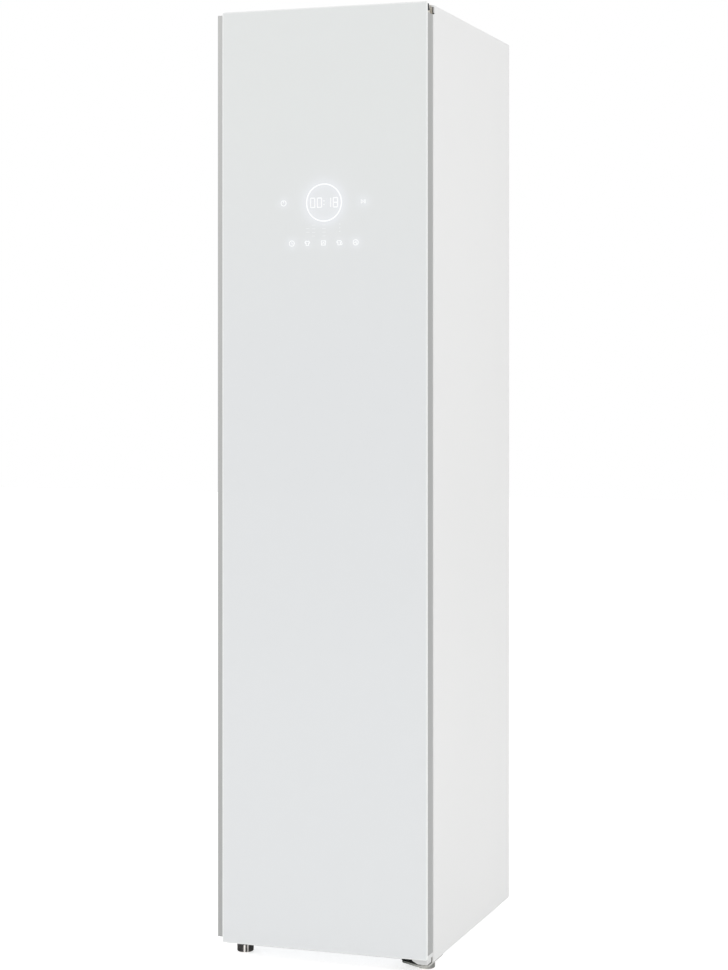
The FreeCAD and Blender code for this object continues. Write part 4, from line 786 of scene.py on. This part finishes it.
# pad on the lower hinge arm, cut along the arm's slanting front edge and 1 mm inside it
def makeHingePad():
    plan = {"low": (154.5, -286, 18), "high": (192, -255, 19.6), "cutAt": (154.0, -261.1, 0),
            "cutOutward": (-0.5206, -0.8538, 0), "cornersTo": 160.0, "corner": 3.6, "edge": 0.6}
    pad = newBlock("hingePad", plan["low"], plan["high"])
    cutAway(pad, plan["cutAt"], plan["cutOutward"])
    bevelEdges(pad, lambda edge: along(edge, "z") and middleOf(edge).x < plan["cornersTo"], plan["corner"],
               segments=5)
    bevelEdges(pad, at("z", plan["high"][2]), plan["edge"])
    settle(pad, "cabinet", "rubber")


# black cap in front of the upper hinge pin
def makeHingeCap():
    plan = {"pin": (203.5, -278.0), "low": 1835.0, "high": 1848.5, "base": 12.0, "crown": 10.2,
            "faceIn": 0.6, "edge": 0.9, "sides": 40}
    pinX, pinY = plan["pin"]
    middle, tall = (plan["low"] + plan["high"]) / 2, plan["high"] - plan["low"]
    cap = newPiece("hingeCap", "cone", (pinX, pinY, middle), vertices=plan["sides"], depth=tall * mm,
                   radius1=plan["base"] * mm, radius2=plan["crown"] * mm)
    cutAway(cap, (0, pinY - plan["faceIn"], 0), (0, 1, 0))
    bevelEdges(cap, at("z", plan["high"]), plan["edge"])
    tidyNormals(cap)
    settle(cap, "cabinet", "dark_plastic", angle=30)


# plated shoe where the upper hinge arm leaves the side panel, its outer face painted dark as the shadow in
# the slot
def makeHingeShoe():
    plan = {"low": (210.7, -255.6, 1832.2), "high": (213.4, -248.4, 1844.8), "edge": 0.5,
            "shadowFrom": 213.0, "outer": (0.06, 0.055, 0.05)}
    shoe = newBlock("hingeShoe", plan["low"], plan["high"])
    bevelEdges(shoe, at("y", plan["low"][1]), plan["edge"], segments=3)
    mat = makeBrushedMetal("shoeNickel", "paleNickel")
    # painted shadow on the shoe's outer face
    stain(mat, calc(mat, "GREATER_THAN", axesOf(mat, 1 / mm)["X"], plan["shadowFrom"]), plan["outer"])
    settle(shoe, "cabinet", "hinge_steel", mat=mat)


makeDoorSeal()
makeGlassTape()
makeHingePad()
makeHingeCap()
makeHingeShoe()
print("seal and trims ready")


# levelling feet; the streaks are painted highlights, bright stripes down the knob, as (degrees round it,
# width, level)
knobLook = {"roughness": (0.12, 0.28), "soleTall": 3.2, "soleShine": 0.45, "grainScale": 500.0,
            "grain": (1, 1, 0.05), "grainShine": (-0.04, 0.08), "relief": 0.1, "depth": 0.0003}
# the two feet are the same nickel; their tones are painted reflection, the left dark and the right pale
feet = {
    "Left": {"knobTop": 16, "dark": (0.045, 0.043, 0.042), "bright": (0.93, 0.90, 0.86),
             "highlightStreaks": ((-74.5, 6.0, 1.0), (-51.0, 3.6, 0.9), (118.0, 7.0, 0.8), (170.0, 5.0, 0.6))},
    "Right": {"knobTop": 12, "dark": (0.30, 0.30, 0.29), "bright": (0.80, 0.79, 0.76),
              "highlightStreaks": ((-95.0, 24.0, 0.8), (60.0, 20.0, 0.7))},
}


def makeFootFinish(name, centre, foot):
    look = knobLook | foot
    mat = newMaterial(name, look["dark"], look["roughness"][0], metal=1.0)
    axes = axesOf(mat, 1 / mm, (-centre.x, -centre.y, 0))
    turn = calc(mat, "MULTIPLY", calc(mat, "ARCTAN2", axes["Y"], axes["X"]), 180 / math.pi)
    grain = noise(mat, look["grainScale"], stretch=look["grain"])
    # painted reflection: a brighter band along the knob's sole, fading upwards
    shine = ramp(mat, axes["Z"], 0.0, look["soleTall"], look["soleShine"], 0.0)
    # painted highlights: bright streaks down the knob
    for angle, width, level in look["highlightStreaks"]:
        shine = calc(mat, "ADD", shine, bell(mat, calc(mat, "SUBTRACT", turn, angle), width, level))
    shine = calc(mat, "ADD", shine, spread(mat, grain, *look["grainShine"]), clamp=True)
    feed(mat, tint(mat, shine, look["dark"], look["bright"]), "Base Color")
    feed(mat, spread(mat, grain, *look["roughness"]), "Roughness")
    addBump(mat, grain, look["relief"], look["depth"])
    return mat


def makeFoot(side):
    plan = {"rim": 1.3, "base": 2.6, "flute": 0.55, "fluteIn": 0.12, "fluteSides": 72, "washer": 9.0,
            "washerThick": 1.2, "washerSunk": 0.2, "washerEdge": 0.5, "washerSides": 32, "stud": 4.0,
            "studEdge": 0.8, "studSides": 20}
    node, knobTop = "front_foot_" + side.lower(), feet[side]["knobTop"]
    low, high = boxOf(node)
    centre = (low + high) / 2
    knob = newRound("knob", (high.x - low.x) / 2, 0, knobTop, centre, plan["fluteSides"])
    bevelEdges(knob, at("z", 0), plan["base"], segments=4)
    bevelEdges(knob, at("z", knobTop), plan["rim"], segments=3)
    flat = math.tau / plan["fluteSides"]

    def fluted(face):   # every other tall face round the knob
        middle = middleOf(face)
        count = round(math.atan2(middle.y - centre.y, middle.x - centre.x) % math.tau / flat - 0.5)
        return plan["base"] < middle.z < knobTop - plan["rim"] and count % 2 == 0

    pick(knob, "FACE", fluted)
    bpy.ops.mesh.inset(thickness=plan["fluteIn"] * mm, depth=-plan["flute"] * mm, use_individual=True)
    leaveEdit()
    washerTop = knobTop + plan["washerThick"]
    washer = newRound("washer", plan["washer"], knobTop - plan["washerSunk"], washerTop, centre,
                      plan["washerSides"])
    bevelEdges(washer, at("z", washerTop), plan["washerEdge"])
    stud = newRound("stud", plan["stud"], knobTop, high.z, centre, plan["studSides"])
    bevelEdges(stud, at("z", high.z), plan["studEdge"], segments=1)
    whole = joinAs("foot" + side, [knob, washer, stud])
    mat = makeFootFinish("turnedNickel" + side, centre, feet[side])
    settle(whole, "foot_" + side.lower(), "foot_nickel", [node], mat, angle=32)


for side in feet:
    makeFoot(side)
print("feet ready")


# screws round the rear panel, each head with a cross slot
def makeRearScrews():
    plan = {"side": 208.5, "levels": (32, 633, 1234, 1835), "seat": 294.2, "face": 295.95, "radius": 4.0,
            "sides": 24, "crown": 0.8, "crossLong": 4.2, "crossWide": 0.9, "crossDeep": 1.0}
    head = newPiece("rearScrew", "cylinder", (0, (plan["seat"] + plan["face"]) / 2, 0), facingFront,
                    vertices=plan["sides"], radius=plan["radius"] * mm,
                    depth=(plan["face"] - plan["seat"]) * mm)
    bevelEdges(head, at("y", plan["face"]), plan["crown"], segments=3)
    half, wide, bottom = plan["crossLong"] / 2, plan["crossWide"] / 2, plan["face"] - plan["crossDeep"]
    for reachX, reachZ in ((half, wide), (wide, half)):
        blade = newBlock("blade", (-reachX, bottom, -reachZ), (reachX, plan["face"] + 1, reachZ))
        cutOut = head.modifiers.new("cross", "BOOLEAN")
        cutOut.operation = "DIFFERENCE"
        cutOut.object = blade
        onlySelect(head)
        bpy.ops.object.modifier_apply(modifier="cross")
        remove(blade)
    places = [(sign * plan["side"], 0, level) for sign in (-1, 1) for level in plan["levels"]]
    heads = copiesAt(head, places)
    settle(joinAs("rearScrewHeads", heads), "cabinet", "screw_steel", ["rear_screws"])


# woven wire in the middle of the lint filter's frame
def makeFilterScreen():
    plan = {"sideIn": 11.0, "footIn": 5.0, "topIn": 24.0, "cells": (45, 12), "wire": 0.5}
    low, high = boxOf("lint_filter")
    low += Vector((plan["sideIn"], 0, plan["footIn"]))
    high -= Vector((plan["sideIn"], 0, plan["topIn"]))
    screen = newPiece("filterScreen", "grid", (low + high) / 2, facingFront,
                      ((high.x - low.x) * mm, (high.z - low.z) * mm, 1), size=1,
                      x_subdivisions=plan["cells"][0], y_subdivisions=plan["cells"][1])
    wires = screen.modifiers.new("wires", "WIREFRAME")
    wires.thickness = plan["wire"] * mm
    wires.use_even_offset = False
    wires.use_boundary = True
    onlySelect(screen)
    bpy.ops.object.modifier_apply(modifier="wires")
    settle(screen, "filter", "dark_plastic")


# level marks on the tanks' fronts, every other one short
def makeTankMarks():
    plan = {"levels": range(78, 199, 20), "edgeIn": 16.0, "longs": (13.0, 7.8), "tall": 1.2, "sunk": 0.3,
            "proud": 0.35, "edge": 0.25}
    for body in ("supply_tank", "drain_tank"):
        low = boxOf(body)[0]
        start = low.x + plan["edgeIn"]
        marks = []
        for count, long in enumerate(plan["longs"]):
            mark = newBlock("mark", (start, low.y - plan["proud"], 0),
                            (start + long, low.y + plan["sunk"], plan["tall"]))
            bevelEdges(mark, at("y", low.y - plan["proud"]), plan["edge"])
            marks += copiesAt(mark, [(0, 0, level) for level in plan["levels"][count::2]])
        settle(joinAs(body.split("_")[0] + "Marks", marks), body, "grey_plastic")


# finger latch on the back of the press plate
def makePressLatch():
    plan = {"low": (-136, -234.3, 1040), "high": (-122, -228.5, 1100), "corner": 5.0, "edge": 1.6,
            "dishIn": 1.6, "dish": 1.2}
    back = plan["high"][1]
    latch = newBlock("pressLatch", plan["low"], plan["high"])
    bevelEdges(latch, lambda edge: along(edge, "y"), plan["corner"], segments=4)
    bevelEdges(latch, at("y", back), plan["edge"], segments=3)
    pick(latch, "FACE", lambda face: at("y", back)(face) and len(face.verts) > 4)
    bpy.ops.mesh.inset(thickness=plan["dishIn"] * mm, depth=-plan["dish"] * mm)
    leaveEdit()
    settle(latch, "press", "grey_plastic")


makeRearScrews()
makeFilterScreen()
makeTankMarks()
makePressLatch()
print("small pieces ready")
